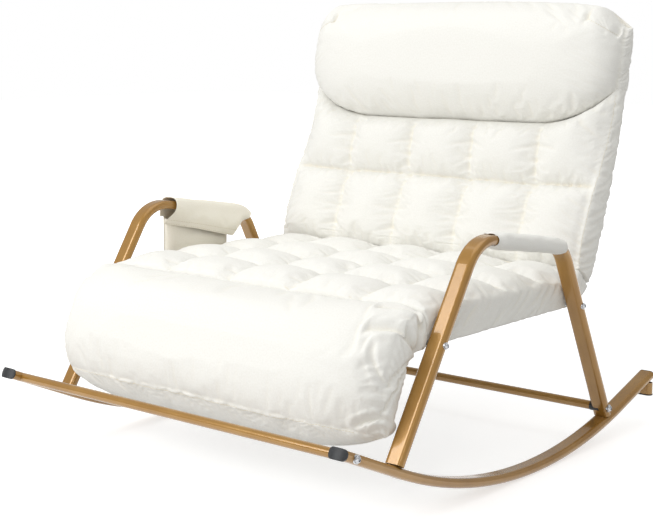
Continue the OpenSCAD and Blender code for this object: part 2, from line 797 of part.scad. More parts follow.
// Underside of the pads: a lip outside the rails and a recess over them
function recessed(s, x) =
    abs(x) < lip_x && s > -(drop_end + pad_face) && s < back_l + pad_face ? pad_face : -lip_face;

// Number of rows, and the lengths of the first and the last as shares of the others
seat_row_lengths = [seat_rows, 1, 1.33];
back_row_lengths = [back_rows, 1.49, 1];

// How far the edges and ends of the pads lie under the full height of their valleys
seat_edge_drop = 6;
seat_corner_drop = 28;
hip_drop = 22;
back_edge_drop = 8;
crease_drop = 20;
bulge_edge_drop = 44;
bulge_low_drop = 26;
bulge_corner_drop = 62;
// How far the head crease rises, and the roll and the front bolster draw in, towards their ends
crease_rise = 98;
crease_gap = 1;
roll_bow = 27;
roll_corner = 40;
bolster_tuck = 40;

function seat_edge(s) = seat_pad - mix(seat_edge_drop, seat_corner_drop, clamp(s / hip_seam));
function seat_top(s, x) =
    let (t = clamp((s - front_seam) / (hip_seam - front_seam)),
         side = clamp((half_w - abs(x)) / (1.1 * outer_column)),
         valley = mix(seat_edge(s), mix(seat_pad, seat_pad - hip_drop, pow(t, 6)), pow(side, 0.4)),
         rise = column_puff(x) * bump(in_row(t, seat_row_lengths)))
    valley + (abs(x) >= half_w ? 0 : puff_h * rise);

module seat_cushion() {
    color(cream) in_frame() difference() {
        pad(row_stations(front_seam + soft_gap, hip_seam - soft_gap / 2, seat_row_lengths, 4), quilt_xs,
            function(s, x) seat_top(s, x), function(s, x) recessed(s, x));
        for (y = seat_bolt_ys) lip_hole(y);
    }
}

module lip_hole(y) {
    both_sides() rod([y, rail_z], seat_bolt_d + 2 * seat_spacer_wall + 4 * soft_gap, rail_x, side_x);
}

function back_top(s, x) =
    let (t = clamp((s - hip_seam) / (head_seam - hip_seam)),
         side = clamp((half_w - abs(x)) / (1.1 * outer_column)),
         edge = back_pad - mix(mix(back_edge_drop, 0, bump(t)), crease_drop, pow(t, 4)),
         middle = mix(seat_pad - hip_drop, back_pad, clamp(5 * t)),
         rise = column_puff(x) * bump(in_row(t, back_row_lengths)))
    mix(edge, middle, pow(side, 0.4)) + (abs(x) >= half_w ? 0 : puff_h * rise);

function end_of(x) = clamp(abs(x) / half_w);
function head_rise(x) = crease_rise * pow(end_of(x), 6);
function back_at(s, x) = s + head_rise(x) * pow(clamp((s - hip_seam) / (head_seam - hip_seam)), 4);

module back_cushion() {
    color(cream) in_frame()
        pad(row_stations(hip_seam + soft_gap / 2, head_seam - crease_gap / 2, back_row_lengths, 6), quilt_xs,
            function(s, x) back_top(s, x), function(s, x) recessed(s, x), function(s, x) back_at(s, x));
}

// The head bolster bulges over the crease and rolls back over the top of the frame
head_back = 27;
head_tip = 8;
head_edge = 30;
head_from = back_l + pad_face;
function eased(t) = t * t * (3 - 2 * t);
function roll_draw(x) =
    roll_bow * pow(end_of(x), 2) + roll_corner * pow(eased(clamp((end_of(x) - 0.833) / 0.167)), 1.5);
function head_at(s, x) = s < head_from
    ? mix(head_seam + head_rise(x), head_from, (s - head_seam) / (head_from - head_seam))
    : mix(head_from, head_end - roll_draw(x), (s - head_from) / (head_end - head_from));
function head_top(s, x) =
    let (low = head_at(head_seam, x), t = clamp((head_at(s, x) - low) / (head_at(head_end, x) - low)),
         full = mix(head_edge, head_bulge_h, pow(1 - pow(end_of(x), 7), 0.45)),
         base = mix(mix(head_edge, back_pad - crease_drop, 1 - pow(end_of(x), 6)), head_tip, t))
    base + (full - base) * pow(1 - pow(abs(2 * t - 1), 2.7), 1 / 2.4);
function head_under(s, x) =
    let (t = clamp((s - head_from) / (head_end - head_from)), tip = mix(-lip_face, 0, pow(t, 3)))
    s < head_from ? recessed(s, x) : tip - head_back * super_arc(mix(0.08, 1, t));

module head_bolster() {
    color(cream) in_frame()
        pad(concat(
                [for (t = [0, 0.02, 0.06, 0.14, 0.3, 0.55, 0.8]) mix(head_seam + crease_gap / 2, head_from, t)],
                [head_from - fold, head_from],
                [for (t = [0.2, 0.4, 0.6, 0.8, 0.93, 1]) mix(head_from, head_end, t)]
            ), quilt_xs, function(s, x) head_top(s, x), function(s, x) head_under(s, x),
            function(s, x) head_at(s, x));
}

// The front bolster hangs over the front bend of the frame and wraps round its bottom bar
bolster_tip = 6;
bolster_from = -(drop_end + pad_face);
function bolster_at(s, x) = s > bolster_from ? s
    : mix(bolster_from, bolster_end + bolster_tuck * pow(end_of(x), 6), (bolster_from - s) / (bolster_from - bolster_end));
function bolster_top(s, x) =
    let (t = clamp((front_seam - bolster_at(s, x)) / (front_seam - bolster_at(bolster_end, x))),
         middle = lookup(t, [[0, seat_pad], [0.35, front_bulge_h], [0.7, front_bulge_h], [1, front_bulge_h - bulge_low_drop]]),
         edge = lookup(t, [[0, seat_edge(front_seam)], [0.6, front_bulge_h - bulge_edge_drop],
             [1, front_bulge_h - bulge_corner_drop]]),
         side = clamp((half_w - abs(x)) / outer_column),
         close = t < 0.62 ? 1 : super_arc(mix(0.5, 1, (t - 0.62) / 0.38)))
    bolster_tip + (mix(edge, middle, pow(1 - pow(1 - side, 2.6), 0.5)) - bolster_tip) * close;
function bolster_under(s, x) =
    let (t = clamp((s - bolster_from) / (bolster_end - bolster_from)))
    s > bolster_from ? recessed(s, x)
        : mix(-lip_face, bolster_tip / 2, t * t) - lip_face * bump(mix(0.1, 1, t));

module front_bolster() {
    color(cream) in_frame() difference() {
        pad(concat(
                [for (t = [1, 0.93, 0.8, 0.6, 0.35]) mix(bolster_from, bolster_end, t)],
                [bolster_from, bolster_from + fold],
                [for (t = [0.15, 0.3, 0.45, 0.6, 0.68, 0.76, 0.84, 0.92, 1]) mix(bolster_from, front_seam, t)]
            ), plain_xs, function(s, x) bolster_top(s, x), function(s, x) bolster_under(s, x),
            function(s, x) bolster_at(s, x));
        for (y = seat_bolt_ys) lip_hole(y);
    }
}

// Fabric panel that closes the cover behind the back frame
module rear_panel() {
    a = spine(rail_l + rear_steps[1][0] / 2);
    hip_half = part_step(rear_steps[1], rear_steps[1][0] / 2);
    color(cream) in_frame() side_view(0)
        route(a[0], a[1], [hip_half, rear_steps[2], [back_straight + round_r, 0]])
            sheet_section(lip_x - soft_gap - fold, -lip_face);
}

// Arm sleeves follow the armrest part of the loop
sleeve_over = 7;
sleeve_bend_share = 0.62;
sleeve_from = loop_steps[0][0] + loop_steps[1][0] - sleeve_over;
sleeve_to = sleeve_from + loop_steps[2][0] + loop_steps[3][0] * sleeve_bend_share + sleeve_over;
sleeve_points = 24;
function arm_point(s, off, x) =
    let (q = along(s, front_foot, front_leg_a, loop_steps), p = q[0] + off * dir(q[1] + 90)) [x, p[0], p[1]];
function flatten(c) = sign(c) * pow(abs(c), 0.8);

module sleeve(side, pad_w) {
    w = oval_w / 2 + pad_w;
    shares = [0, 0.02, 0.08, 0.2, 0.35, 0.5, 0.65, 0.8, 0.92, 0.98, 1];
    full_shares = [0.86, 0.95, 0.99, 1, 1.01, 1.01, 1, 1, 0.99, 0.95, 0.86];
    n = sleeve_points;
    rows = len(shares);
    points = [for (i = [0:rows - 1], k = [0:n - 1])
        arm_point(mix(sleeve_from, sleeve_to, shares[i]),
            sleeve_h / 2 * full_shares[i] * flatten(sin(360 * k / n)),
            side * side_x + w * mix(1, full_shares[i], 0.5) * flatten(cos(360 * k / n)))];
    skin = [for (r = [0:rows - 2], k = [0:n - 1]) let (a = r * n + k, b = r * n + (k + 1) % n)
        each [[a, b, b + n], [a, b + n, a + n]]];
    first = [for (k = [1:n - 2]) [0, k + 1, k]];
    last = [for (k = [1:n - 2]) [(rows - 1) * n, (rows - 1) * n + k, (rows - 1) * n + k + 1]];
    difference() {
        polyhedron(points = points, faces = [for (f = concat(skin, first, last)) [f[2], f[1], f[0]]]);
        side_view(side * side_x) route(front_foot, front_leg_a, loop_steps)
            flat_oval(oval_w + 2 * soft_gap, oval_t + 2 * soft_gap);
    }
}

module left_arm_sleeve() {
    color(cream) in_frame() sleeve(1, sleeve_pad);
}

pocket_t = 2.4;

module right_arm_sleeve() {
    color(cream) in_frame() sleeve(-1, sleeve_pad - pocket_t - soft_gap);
}

// Side pocket: a bag that hangs from the outer side of the right sleeve
pocket_front = 155;
pocket_rear = 45;
pocket_gap = 30;
pocket_out = side_x + oval_w / 2 + sleeve_pad;
function arm_z(y) = arm_front_z + (y + arm_front_y) * tan(arm_a);

module bag(inset, rise) {
    ts = [0, 0.08, 0.25, 0.5, 0.75, 0.92, 1];
    zs = [0, 0.05, 0.2, 0.5, 0.8, 1];
    n = len(zs);
    m = 2 * n;
    points = [for (t = ts)
        let (y = mix(-pocket_front + inset, pocket_rear - inset, t), top = arm_z(y) - sleeve_h / 2,
             low = arm_z(0) - pocket_drop + inset)
        each concat(
            [for (v = zs) [-pocket_out + inset, y, mix(low, top + rise, v)]],
            [for (k = [n - 1:-1:0]) let (v = zs[k], open = pow(bump(mix(0.02, 0.98, t)), 0.5) * pow(clamp(v + 0.03), 0.3))
                [-pocket_out + 3 * pocket_t - inset + (pocket_gap - 3 * pocket_t) * open, y, mix(low, top - soft_gap + rise, v)]]
        )];
    skin = [for (r = [0:len(ts) - 2], k = [0:m - 1]) let (a = r * m + k, b = r * m + (k + 1) % m)
        each [[a, b, b + m], [a, b + m, a + m]]];
    first = [for (k = [0:n - 2]) each [[k, m - 1 - k, k + 1], [k + 1, m - 1 - k, m - 2 - k]]];
    last = [for (f = first) [for (k = [2:-1:0]) f[k] + (len(ts) - 1) * m]];
    polyhedron(points = points, faces = [for (f = concat(skin, first, last)) [f[2], f[1], f[0]]]);
}

module side_pocket() {
    color(cream) in_frame() difference() {
        bag(0, 0);
        bag(pocket_t, sleeve_h);
    }
}

left_rocker();
right_rocker();
left_arm_loop();
right_arm_loop();
front_crossbar();
rear_crossbar();
rear_crossbar_caps();
crossbar_nuts();
crossbar_bolts();
crossbar_washers();
front_end_caps();
rear_end_caps();
rear_stub_feet();
stub_foot_caps();
seat_frame();
back_frame();
seat_cross_tube();
back_cross_tube();
frame_joiners();
joiner_screws();
seat_bolts();
seat_washers();
seat_spacers();
rail_inserts();
seat_sling();
back_sling();
seat_cushion();
back_cushion();
head_bolster();
front_bolster();
rear_panel();
left_arm_sleeve();
right_arm_sleeve();
side_pocket();
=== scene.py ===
import json
import math

import bmesh
import bpy
import numpy as np
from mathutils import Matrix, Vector
from mathutils.bvhtree import BVHTree


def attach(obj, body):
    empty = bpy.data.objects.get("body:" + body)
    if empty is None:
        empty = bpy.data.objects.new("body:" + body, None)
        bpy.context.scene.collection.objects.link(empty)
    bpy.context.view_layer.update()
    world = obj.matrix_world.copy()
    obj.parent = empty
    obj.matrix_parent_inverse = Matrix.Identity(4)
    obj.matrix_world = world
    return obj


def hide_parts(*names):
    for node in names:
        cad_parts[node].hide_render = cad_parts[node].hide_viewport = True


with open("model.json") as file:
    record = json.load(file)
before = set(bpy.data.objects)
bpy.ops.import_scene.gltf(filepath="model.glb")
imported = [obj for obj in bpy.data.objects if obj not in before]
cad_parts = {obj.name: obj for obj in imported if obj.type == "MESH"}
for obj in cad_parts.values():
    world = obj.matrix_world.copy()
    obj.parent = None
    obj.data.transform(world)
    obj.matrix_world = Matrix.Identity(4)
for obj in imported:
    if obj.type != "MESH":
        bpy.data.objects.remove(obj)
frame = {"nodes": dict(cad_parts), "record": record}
cadNodes = frame["nodes"]
scene = bpy.context.scene
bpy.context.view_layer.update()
print("frame loaded:", len(cadNodes), "CAD nodes")

# the chair's main measures, in metres, with places as y and z before the shift to the origin
chair = {
    "originShift": 0.07412,   # from the floor contact of the rockers to the origin
    "halfWidth": 0.432,       # of the cushions
    "sideX": 0.4585,          # centre plane of each side frame
    "railX": 0.402,
    "railStart": (-0.365, 0.331),
    "rearSteps": [(0.5275, 0), (0.13823, 66), (0.42761, 14), (0.09, 0)],   # length and turn in degrees
    "frontSteps": [(0.08063, 66), (0.114, 0)],
    "armFront": (-0.236, 0.519),   # where the lines of leg and armrest meet
    "armRear": (0.087, 0.4685),
    "kneeSeam": 0.0045,            # along the rail, between front bolster and seat cushion
    "lumbarSeam": 0.6215,          # between seat cushion and back cushion
    "underside": -0.013,           # off the rail, of all pads but the back cushion
}


def smooth(t):
    t = np.clip(t, 0, 1)
    return t * t * (3 - 2 * t)


def mix(a, b, t):
    return a + (b - a) * t


def walk(along, start, heading, steps):
    # places and headings along a route of straights and arcs
    along = np.asarray(along, float)
    y, z, angle = np.zeros(along.shape), np.zeros(along.shape), np.zeros(along.shape)
    py, pz, a, done = start[0], start[1], heading, 0.0
    for i, (length, turn) in enumerate(steps):
        here = along >= done if i else np.ones(along.shape, bool)
        run = along[here] - done
        if turn == 0:
            y[here] = py + run * math.cos(math.radians(a))
            z[here] = pz + run * math.sin(math.radians(a))
            angle[here] = a
            chord, mid = length, a
        else:
            part = np.radians(run / length * turn)
            radius = length / math.radians(abs(turn))
            reach = 2 * radius * np.sin(np.abs(part) / 2)
            y[here] = py + reach * np.cos(math.radians(a) + part / 2)
            z[here] = pz + reach * np.sin(math.radians(a) + part / 2)
            angle[here] = a + np.degrees(part)
            chord, mid = 2 * radius * math.sin(math.radians(abs(turn)) / 2), a + turn / 2
        py += chord * math.cos(math.radians(mid))
        pz += chord * math.sin(math.radians(mid))
        a, done = a + turn, done + length
    return y, z, angle


def onSpine(s, off, x):
    # points at s along the rails and off above them, with s below zero on the front bend
    s, off, x = np.broadcast_arrays(*[np.asarray(value, float) for value in (s, off, x)])
    y, z, angle = walk(np.maximum(s, 0), chair["railStart"], 0, chair["rearSteps"])
    fy, fz, fa = walk(np.maximum(-s, 0), chair["railStart"], 180, chair["frontSteps"])
    ahead = s < 0
    y, z, angle = np.where(ahead, fy, y), np.where(ahead, fz, z), np.where(ahead, fa - 180, angle)
    normal = np.radians(angle + 90)
    return np.stack([x, y + off * np.cos(normal) + chair["originShift"], z + off * np.sin(normal)], -1)


# noise, folds and distances
slopes = np.array([(a, b, c) for a in (-1, 0, 1) for b in (-1, 0, 1) for c in (-1, 0, 1)
                   if abs(a) + abs(b) + abs(c) == 2], float)
scatter = (73856093, 19349663, 83492791, 1274126177)   # odd numbers that pick a slope for each cell


def noiseAt(u, v, w=0.0):
    spot = np.stack(np.broadcast_arrays(*[np.asarray(value, float) for value in (u, v, w)]), -1)
    cell = np.floor(spot).astype(np.int64)
    part = spot - cell
    ease = part ** 3 * (part * (part * 6 - 15) + 10)
    total = np.zeros(spot.shape[:-1])
    for corner in np.ndindex(2, 2, 2):
        key = cell + corner
        mixed = (key[..., 0] * scatter[0]) ^ (key[..., 1] * scatter[1]) ^ (key[..., 2] * scatter[2])
        mixed = (mixed ^ (mixed >> 13)) * scatter[3]
        slope = slopes[((mixed >> 16) & 0xFFFF) % len(slopes)]
        weight = np.prod(np.where(np.array(corner) == 1, ease, 1 - ease), axis=-1)
        total += weight * np.sum(slope * (part - corner), axis=-1)
    return total


def gathers(distance, along, look):
    # folds that run away from a gathered seam and fade
    streak = noiseAt(along / look["pitch"], distance / look["reach"] * 0.7 + look["seed"], look["seed"])
    fade = np.exp(-((np.maximum(distance, 0) / look["reach"]) ** 1.3))
    return look["height"] * ((0.5 - np.abs(streak) * 2) * fade)


def starFolds(x, s, look):
    # folds that spread from one gathered point near each side
    dx, ds = np.abs(x) - look["at"][0], s - look["at"][1]
    far = np.hypot(dx, ds)
    ridge = 0.5 - 2 * np.abs(noiseAt(np.arctan2(ds, dx) * 2.4, far * 9, look["seed"] + (x > 0)))
    return look["height"] * (ridge * np.exp(-((far / look["reach"]) ** 1.5)) * smooth(far / 0.012))


def sidePleats(t, drop, look):
    # slanting creases from the top of a pad's side to its foot
    streak = noiseAt(t * look["along"] + drop * look["slant"], drop * look["down"], look["seed"])
    return look["height"] * (0.4 - look["sharp"] * np.abs(streak))


def toSegment(x, s, a, b):
    # distance to the segment a-b and the share along it, on both sides of the chair
    px, ps, dx, ds = np.abs(x) - a[0], s - a[1], b[0] - a[0], b[1] - a[1]
    share = np.clip((px * dx + ps * ds) / (dx * dx + ds * ds), 0, 1)
    return np.hypot(px - share * dx, ps - share * ds), share


def runAlong(points):
    return np.concatenate([[0], np.cumsum(np.linalg.norm(np.diff(points, axis=0), axis=1))])


# materials
def newMaterial(name):
    material = bpy.data.materials.new(name)
    material.use_nodes = True
    tree = material.node_tree
    return material, tree, tree.nodes["Principled BSDF"]


def link(tree, a, b):
    tree.links.new(a, b)


def setInputs(made, **values):
    for name, value in values.items():
        made.inputs[name.replace("_", " ")].default_value = value


def node(tree, kind, **settings):
    made = tree.nodes.new(kind)
    for name, value in settings.items():
        if hasattr(made, name):
            setattr(made, name, value)
        else:
            setInputs(made, **{name: value})
    return made


def noiseOn(tree, place, **settings):
    noise = node(tree, "ShaderNodeTexNoise", **settings)
    link(tree, place, noise.inputs["Vector"])
    return noise.outputs["Fac"]


def mathOf(tree, operation, *values):
    made = node(tree, "ShaderNodeMath", operation=operation)
    for socket, value in zip(made.inputs, values):
        if isinstance(value, float):
            socket.default_value = value
        else:
            link(tree, value, socket)
    return made.outputs[0]


def toneOf(tree, value, stops):
    ramp = tree.nodes.new("ShaderNodeValToRGB")
    while len(ramp.color_ramp.elements) < len(stops):
        ramp.color_ramp.elements.new(0.5)
    for element, (at, color) in zip(ramp.color_ramp.elements, stops):
        element.position = at
        element.color = (*color, 1)
    link(tree, value, ramp.inputs["Fac"])
    return ramp.outputs["Color"]


def rangeOf(tree, value, low, high):
    spread = node(tree, "ShaderNodeMapRange", To_Min=low, To_Max=high)
    link(tree, value, spread.inputs["Value"])
    return spread.outputs["Result"]


def bumpOf(tree, height, strength, distance):
    bump = node(tree, "ShaderNodeBump", Strength=strength, Distance=distance)
    link(tree, height, bump.inputs["Height"])
    return bump


def bronzePaint():
    look = {"deep": (0.32, 0.158, 0.027), "base": (0.385, 0.200, 0.038), "worn": (0.46, 0.262, 0.070),
            "roughness": (0.2, 0.3), "peel": (0.12, 0.0004)}
    material, tree, shader = newMaterial("bronzePaint")
    place = node(tree, "ShaderNodeTexCoord").outputs["Object"]
    drift = noiseOn(tree, place, Scale=9.0, Detail=3.0)
    tone = toneOf(tree, drift, [(0.3, look["deep"]), (0.55, look["base"]), (0.85, look["worn"])])
    link(tree, tone, shader.inputs["Base Color"])
    peel = noiseOn(tree, place, Scale=900.0, Detail=2.0)
    link(tree, rangeOf(tree, peel, *look["roughness"]), shader.inputs["Roughness"])
    link(tree, bumpOf(tree, peel, *look["peel"]).outputs["Normal"], shader.inputs["Normal"])
    setInputs(shader, Metallic=0.25, Coat_Weight=0.6, Coat_Roughness=0.07)
    return material


def blackPlastic():
    look = {"dark": (0.008, 0.009, 0.011), "scuffed": (0.022, 0.024, 0.028), "grain": (0.35, 0.0003)}
    material, tree, shader = newMaterial("blackPlastic")
    place = node(tree, "ShaderNodeTexCoord").outputs["Object"]
    grain = noiseOn(tree, place, Scale=1400.0, Detail=2.0)
    link(tree, bumpOf(tree, grain, *look["grain"]).outputs["Normal"], shader.inputs["Normal"])
    scuff = noiseOn(tree, place, Scale=60.0, Detail=4.0)
    tone = toneOf(tree, scuff, [(0.35, look["dark"]), (0.75, look["scuffed"])])
    link(tree, tone, shader.inputs["Base Color"])
    setInputs(shader, Roughness=0.45)
    return material


def zincSteel():
    look = {"dull": (0.42, 0.43, 0.45), "bright": (0.66, 0.67, 0.69), "roughness": (0.22, 0.4)}
    material, tree, shader = newMaterial("zincSteel")
    place = node(tree, "ShaderNodeTexCoord").outputs["Object"]
    spangle = noiseOn(tree, place, Scale=450.0, Detail=3.0)
    tone = toneOf(tree, spangle, [(0.3, look["dull"]), (0.7, look["bright"])])
    link(tree, tone, shader.inputs["Base Color"])
    link(tree, rangeOf(tree, spangle, *look["roughness"]), shader.inputs["Roughness"])
    setInputs(shader, Metallic=1.0)
    return material


def wovenCloth(name, look):
    material, tree, shader = newMaterial(name)
    place = node(tree, "ShaderNodeTexCoord")
    split = node(tree, "ShaderNodeSeparateXYZ")
    link(tree, place.outputs["UV"], split.inputs["Vector"])
    waves = [mathOf(tree, "SINE", mathOf(tree, "MULTIPLY", split.outputs[axis], math.pi / look["thread"]))
             for axis in ("X", "Y")]
    knot = mathOf(tree, "ABSOLUTE", mathOf(tree, "MULTIPLY", *waves))
    slub = noiseOn(tree, place.outputs["UV"], Scale=260.0, Detail=3.0)
    weave = bumpOf(tree, mathOf(tree, "ADD", knot, slub), look["bump"], 0.0004)
    rumple = noiseOn(tree, place.outputs["Object"], Scale=22.0, Detail=5.0, Roughness=0.62)
    link(tree, bumpOf(tree, rumple, 0.25, 0.004).outputs["Normal"], weave.inputs["Normal"])
    link(tree, weave.outputs["Normal"], shader.inputs["Normal"])
    # painted shade: the cloth's colour is darkened and warmed down in its creases, which markCreases finds on
    # the pads
    creaseShadeMask = node(tree, "ShaderNodeAttribute", attribute_name="crease")
    creaseShade = node(tree, "ShaderNodeMix", data_type="RGBA", blend_type="MULTIPLY")
    plain, creaseShadeTint = [socket for socket in creaseShade.inputs if socket.type == "RGBA"]
    creaseShadeTint.default_value = (1.0, 0.95, 0.85, 1)
    link(tree, creaseShadeMask.outputs["Fac"], creaseShade.inputs[0])
    link(tree, toneOf(tree, slub, [(0.25, look["low"]), (0.75, look["high"])]), plain)
    link(tree, next(socket for socket in creaseShade.outputs if socket.type == "RGBA"), shader.inputs["Base Color"])
    setInputs(shader, Roughness=0.85, Specular_IOR_Level=0.25)
    setInputs(shader, Sheen_Weight=look["sheen"], Sheen_Roughness=0.5)
    return material


# thread is the width of one thread, in metres
plainWeave = {"thread": 0.0007, "bump": 0.25}
weaves = {
    "creamCanvas": {"low": (0.83, 0.82, 0.775), "high": (0.88, 0.875, 0.84), "sheen": 0.12, **plainWeave},
    # painted light: a brighter, warmer copy of the cream canvas for the shaded far arm cover and pocket,
    # standing in for warm bounce light
    "paintedLightCanvas": {"low": (0.90, 0.86, 0.745), "high": (0.935, 0.90, 0.80), "sheen": 0.12, **plainWeave},
    # painted shade: a darker tan cloth for the inside of the near arm sleeve
    "paintedShadeLining": {"low": (0.62, 0.53, 0.38), "high": (0.70, 0.61, 0.46), "sheen": 0.1, **plainWeave},
    "slingWeave": {"low": (0.60, 0.57, 0.49), "high": (0.68, 0.65, 0.57), "sheen": 0.05,
                   "thread": 0.0022, "bump": 0.6},
    "creamThread": {"low": (0.72, 0.66, 0.52), "high": (0.78, 0.72, 0.58), "sheen": 0.1,
                    "thread": 0.0004, "bump": 0.3},
}
paint, plastic, zinc = bronzePaint(), blackPlastic(), zincSteel()
cloths = {name: wovenCloth(name, look) for name, look in weaves.items()}
finishes = {"bronze_tube": paint, "black_plastic": plastic, "steel": zinc,
            "webbing": cloths["slingWeave"], "cream_fabric": cloths["creamCanvas"]}
for part in frame["record"]["subparts"]:
    cadNodes[part["node"]].material_slots[0].material = finishes[part["material_slot"]]
print("materials made:", len(bpy.data.materials))


# mesh tools
def gridMesh(name, rings, uRun, vRun, closed, material, caps=0):
    rows, count = rings.shape[:2]
    faces, uvs = [], []
    for r in range(rows - 1):
        for k in range(count if closed else count - 1):
            n = (k + 1) % count
            faces.append((r * count + k, r * count + n, (r + 1) * count + n, (r + 1) * count + k))
            u0, u1, v0, v1 = uRun[k], uRun[k + 1], vRun[r], vRun[r + 1]
            uvs += [(u0, v0), (u1, v0), (u1, v1), (u0, v1)]
    if caps:
        # each end is closed by a strip of triangles between its upper and its lower points
        for r in (0, rows - 1):
            i, j = caps - 1, caps
            while i > 0 or j < count - 1:
                if j == count - 1 or (i > 0 and (caps - i) * (count - caps) <= (j - caps + 1) * caps):
                    i -= 1
                    face = (i, i + 1, j)
                else:
                    j += 1
                    face = (j - 1, j, i)
                face = face if r else face[::-1]
                faces.append(tuple(r * count + k for k in face))
                uvs += [(rings[r][k][0], rings[r][k][2]) for k in face]
    data = bpy.data.meshes.new(name)
    data.from_pydata(rings.reshape(-1, 3).tolist(), [], faces)
    layer = data.uv_layers.new(name="cloth")
    layer.data.foreach_set("uv", np.array(uvs, np.float32).ravel())
    data.materials.append(material)
    piece = bpy.data.objects.new(name, data)
    scene.collection.objects.link(piece)
    data.polygons.foreach_set("use_smooth", [True] * len(data.polygons))
    data.update()
    return piece


def coordsOf(data):
    found = np.zeros(len(data.vertices) * 3, np.float32)
    data.vertices.foreach_get("co", found)
    return found.reshape(-1, 3).astype(float)


def faceOutwards(piece):
    piece.data.calc_loop_triangles()
    corners = np.zeros(len(piece.data.loop_triangles) * 3, np.int64)
    piece.data.loop_triangles.foreach_get("vertices", corners)
    a, b, c = np.moveaxis(coordsOf(piece.data)[corners.reshape(-1, 3)], 1, 0)
    if np.sum(a * np.cross(b, c)) < 0:
        piece.data.flip_normals()


def evaluated(piece):
    return piece.evaluated_get(bpy.context.evaluated_depsgraph_get())


def makePlain(piece):
    # what the modifiers make becomes the mesh itself
    old = piece.data
    piece.data = bpy.data.meshes.new_from_object(evaluated(piece))
    piece.modifiers.clear()
    bpy.data.meshes.remove(old)


def divide(piece):
    finer = piece.modifiers.new("finer", "SUBSURF")
    finer.levels = finer.render_levels = 1
    makePlain(piece)


halfHeld, fullyHeld = 0.5, 1.0
clothFeel = {"mass": 0.3, "tension_stiffness": 15, "compression_stiffness": 10, "shear_stiffness": 4,
             "bending_stiffness": 0.4, "quality": 4, "use_pressure": True}


def plumpUp(piece, held, look):
    before = coordsOf(piece.data)
    group = piece.vertex_groups.new(name="held")
    for weight in (halfHeld, fullyHeld):
        group.add(np.flatnonzero(held >= weight).tolist(), weight, "REPLACE")
    cloth = piece.modifiers.new("settle", "CLOTH")
    settings = cloth.settings
    for name, value in clothFeel.items():
        setattr(settings, name, value)
    settings.uniform_pressure_force = look["pressure"]
    settings.shrink_min = -look["spare"]
    settings.vertex_group_mass = "held"
    settings.effector_weights.gravity = 0
    cloth.collision_settings.use_collision = False
    cloth.point_cache.frame_start = 1
    cloth.point_cache.frame_end = look["frames"]
    for number in range(1, look["frames"] + 1):
        scene.frame_set(number)
    settled = evaluated(piece)
    move = coordsOf(settled.to_mesh()) - before
    settled.to_mesh_clear()
    length = np.linalg.norm(move, axis=1, keepdims=True)
    after = before + move * np.minimum(1, look["cap"] / np.maximum(length, 1e-9))
    piece.modifiers.remove(cloth)
    piece.vertex_groups.remove(group)
    scene.frame_set(1)
    piece.data.vertices.foreach_set("co", after.astype(np.float32).ravel())
    piece.data.update()
    print("  settled", piece.name, "largest move %.1f mm" % (length.max() * 1000))


def markCreases(piece):
    # how far each point lies below its neighbours, smoothed a little; it is the mask of the painted crease
    # shade in the cloth
    look = {"around": 4, "smooth": 2, "fullDepth": 0.0026}
    data = piece.data
    spots = coordsOf(data)
    normals = np.zeros(len(spots) * 3, np.float32)
    data.vertices.foreach_get("normal", normals)
    normals = normals.reshape(-1, 3)
    ends = np.zeros(len(data.edges) * 2, np.int64)
    data.edges.foreach_get("vertices", ends)
    ends = ends.reshape(-1, 2)
    count = np.bincount(ends.ravel(), minlength=len(spots))

    def average(values):
        total = np.zeros(values.shape)
        np.add.at(total, ends[:, 0], values[ends[:, 1]])
        np.add.at(total, ends[:, 1], values[ends[:, 0]])
        return total / np.maximum(count, 1).reshape(-1, *[1] * (values.ndim - 1))

    around = spots
    for _ in range(look["around"]):
        around = average(around)
    depth = np.einsum("ij,ij->i", around - spots, normals)
    for _ in range(look["smooth"]):
        depth = 0.5 * depth + 0.5 * average(depth)
    layer = data.attributes.new("crease", "FLOAT", "POINT")
    layer.data.foreach_set("value", np.clip(depth / look["fullDepth"], 0, 1).astype(np.float32))


stitchLook = {"Pitch": 0.0062, "Stitch Length": 0.0044, "Thread Radius": 0.00042}


def stitchNodes():
    # turns a line of edges into a run of short threads
    group = bpy.data.node_groups.new("stitches", "GeometryNodeTree")
    face = group.interface
    face.new_socket(name="Line", in_out="INPUT", socket_type="NodeSocketGeometry")
    for label, value in stitchLook.items():
        socket = face.new_socket(name=label, in_out="INPUT", socket_type="NodeSocketFloat")
        socket.default_value = value
    face.new_socket(name="Threads", in_out="OUTPUT", socket_type="NodeSocketGeometry")
    given, result = node(group, "NodeGroupInput"), node(group, "NodeGroupOutput")
    curve = node(group, "GeometryNodeMeshToCurve")
    even = node(group, "GeometryNodeResampleCurve", mode="LENGTH")
    aim = node(group, "FunctionNodeAlignEulerToVector", axis="Z")
    tangent = node(group, "GeometryNodeInputTangent")
    keep = node(group, "GeometryNodeCaptureAttribute")
    keep.capture_items.new("VECTOR", "along")
    points = node(group, "GeometryNodeCurveToPoints", mode="EVALUATED")
    stitch = node(group, "GeometryNodeMeshCylinder", Vertices=6, Side_Segments=3)
    put = node(group, "GeometryNodeInstanceOnPoints")
    real = node(group, "GeometryNodeRealizeInstances")
    dress = node(group, "GeometryNodeSetMaterial", Material=cloths["creamThread"])
    for start, outlet, end, inlet in (
        (given, "Line", curve, "Mesh"),
        (curve, "Curve", even, "Curve"),
        (given, "Pitch", even, "Length"),
        (even, "Curve", keep, "Geometry"),
        (tangent, "Tangent", keep, "along"),
        (keep, "Geometry", points, "Curve"),
        (keep, "along", aim, "Vector"),
        (given, "Stitch Length", stitch, "Depth"),
        (given, "Thread Radius", stitch, "Radius"),
        (points, "Points", put, "Points"),
        (stitch, "Mesh", put, "Instance"),
        (aim, "Rotation", put, "Rotation"),
        (put, "Instances", real, "Geometry"),
        (real, "Geometry", dress, "Geometry"),
        (dress, "Geometry", result, "Threads"),
    ):
        link(group, start.outputs[outlet], end.inputs[inlet])
    return group


stitches = stitchNodes()


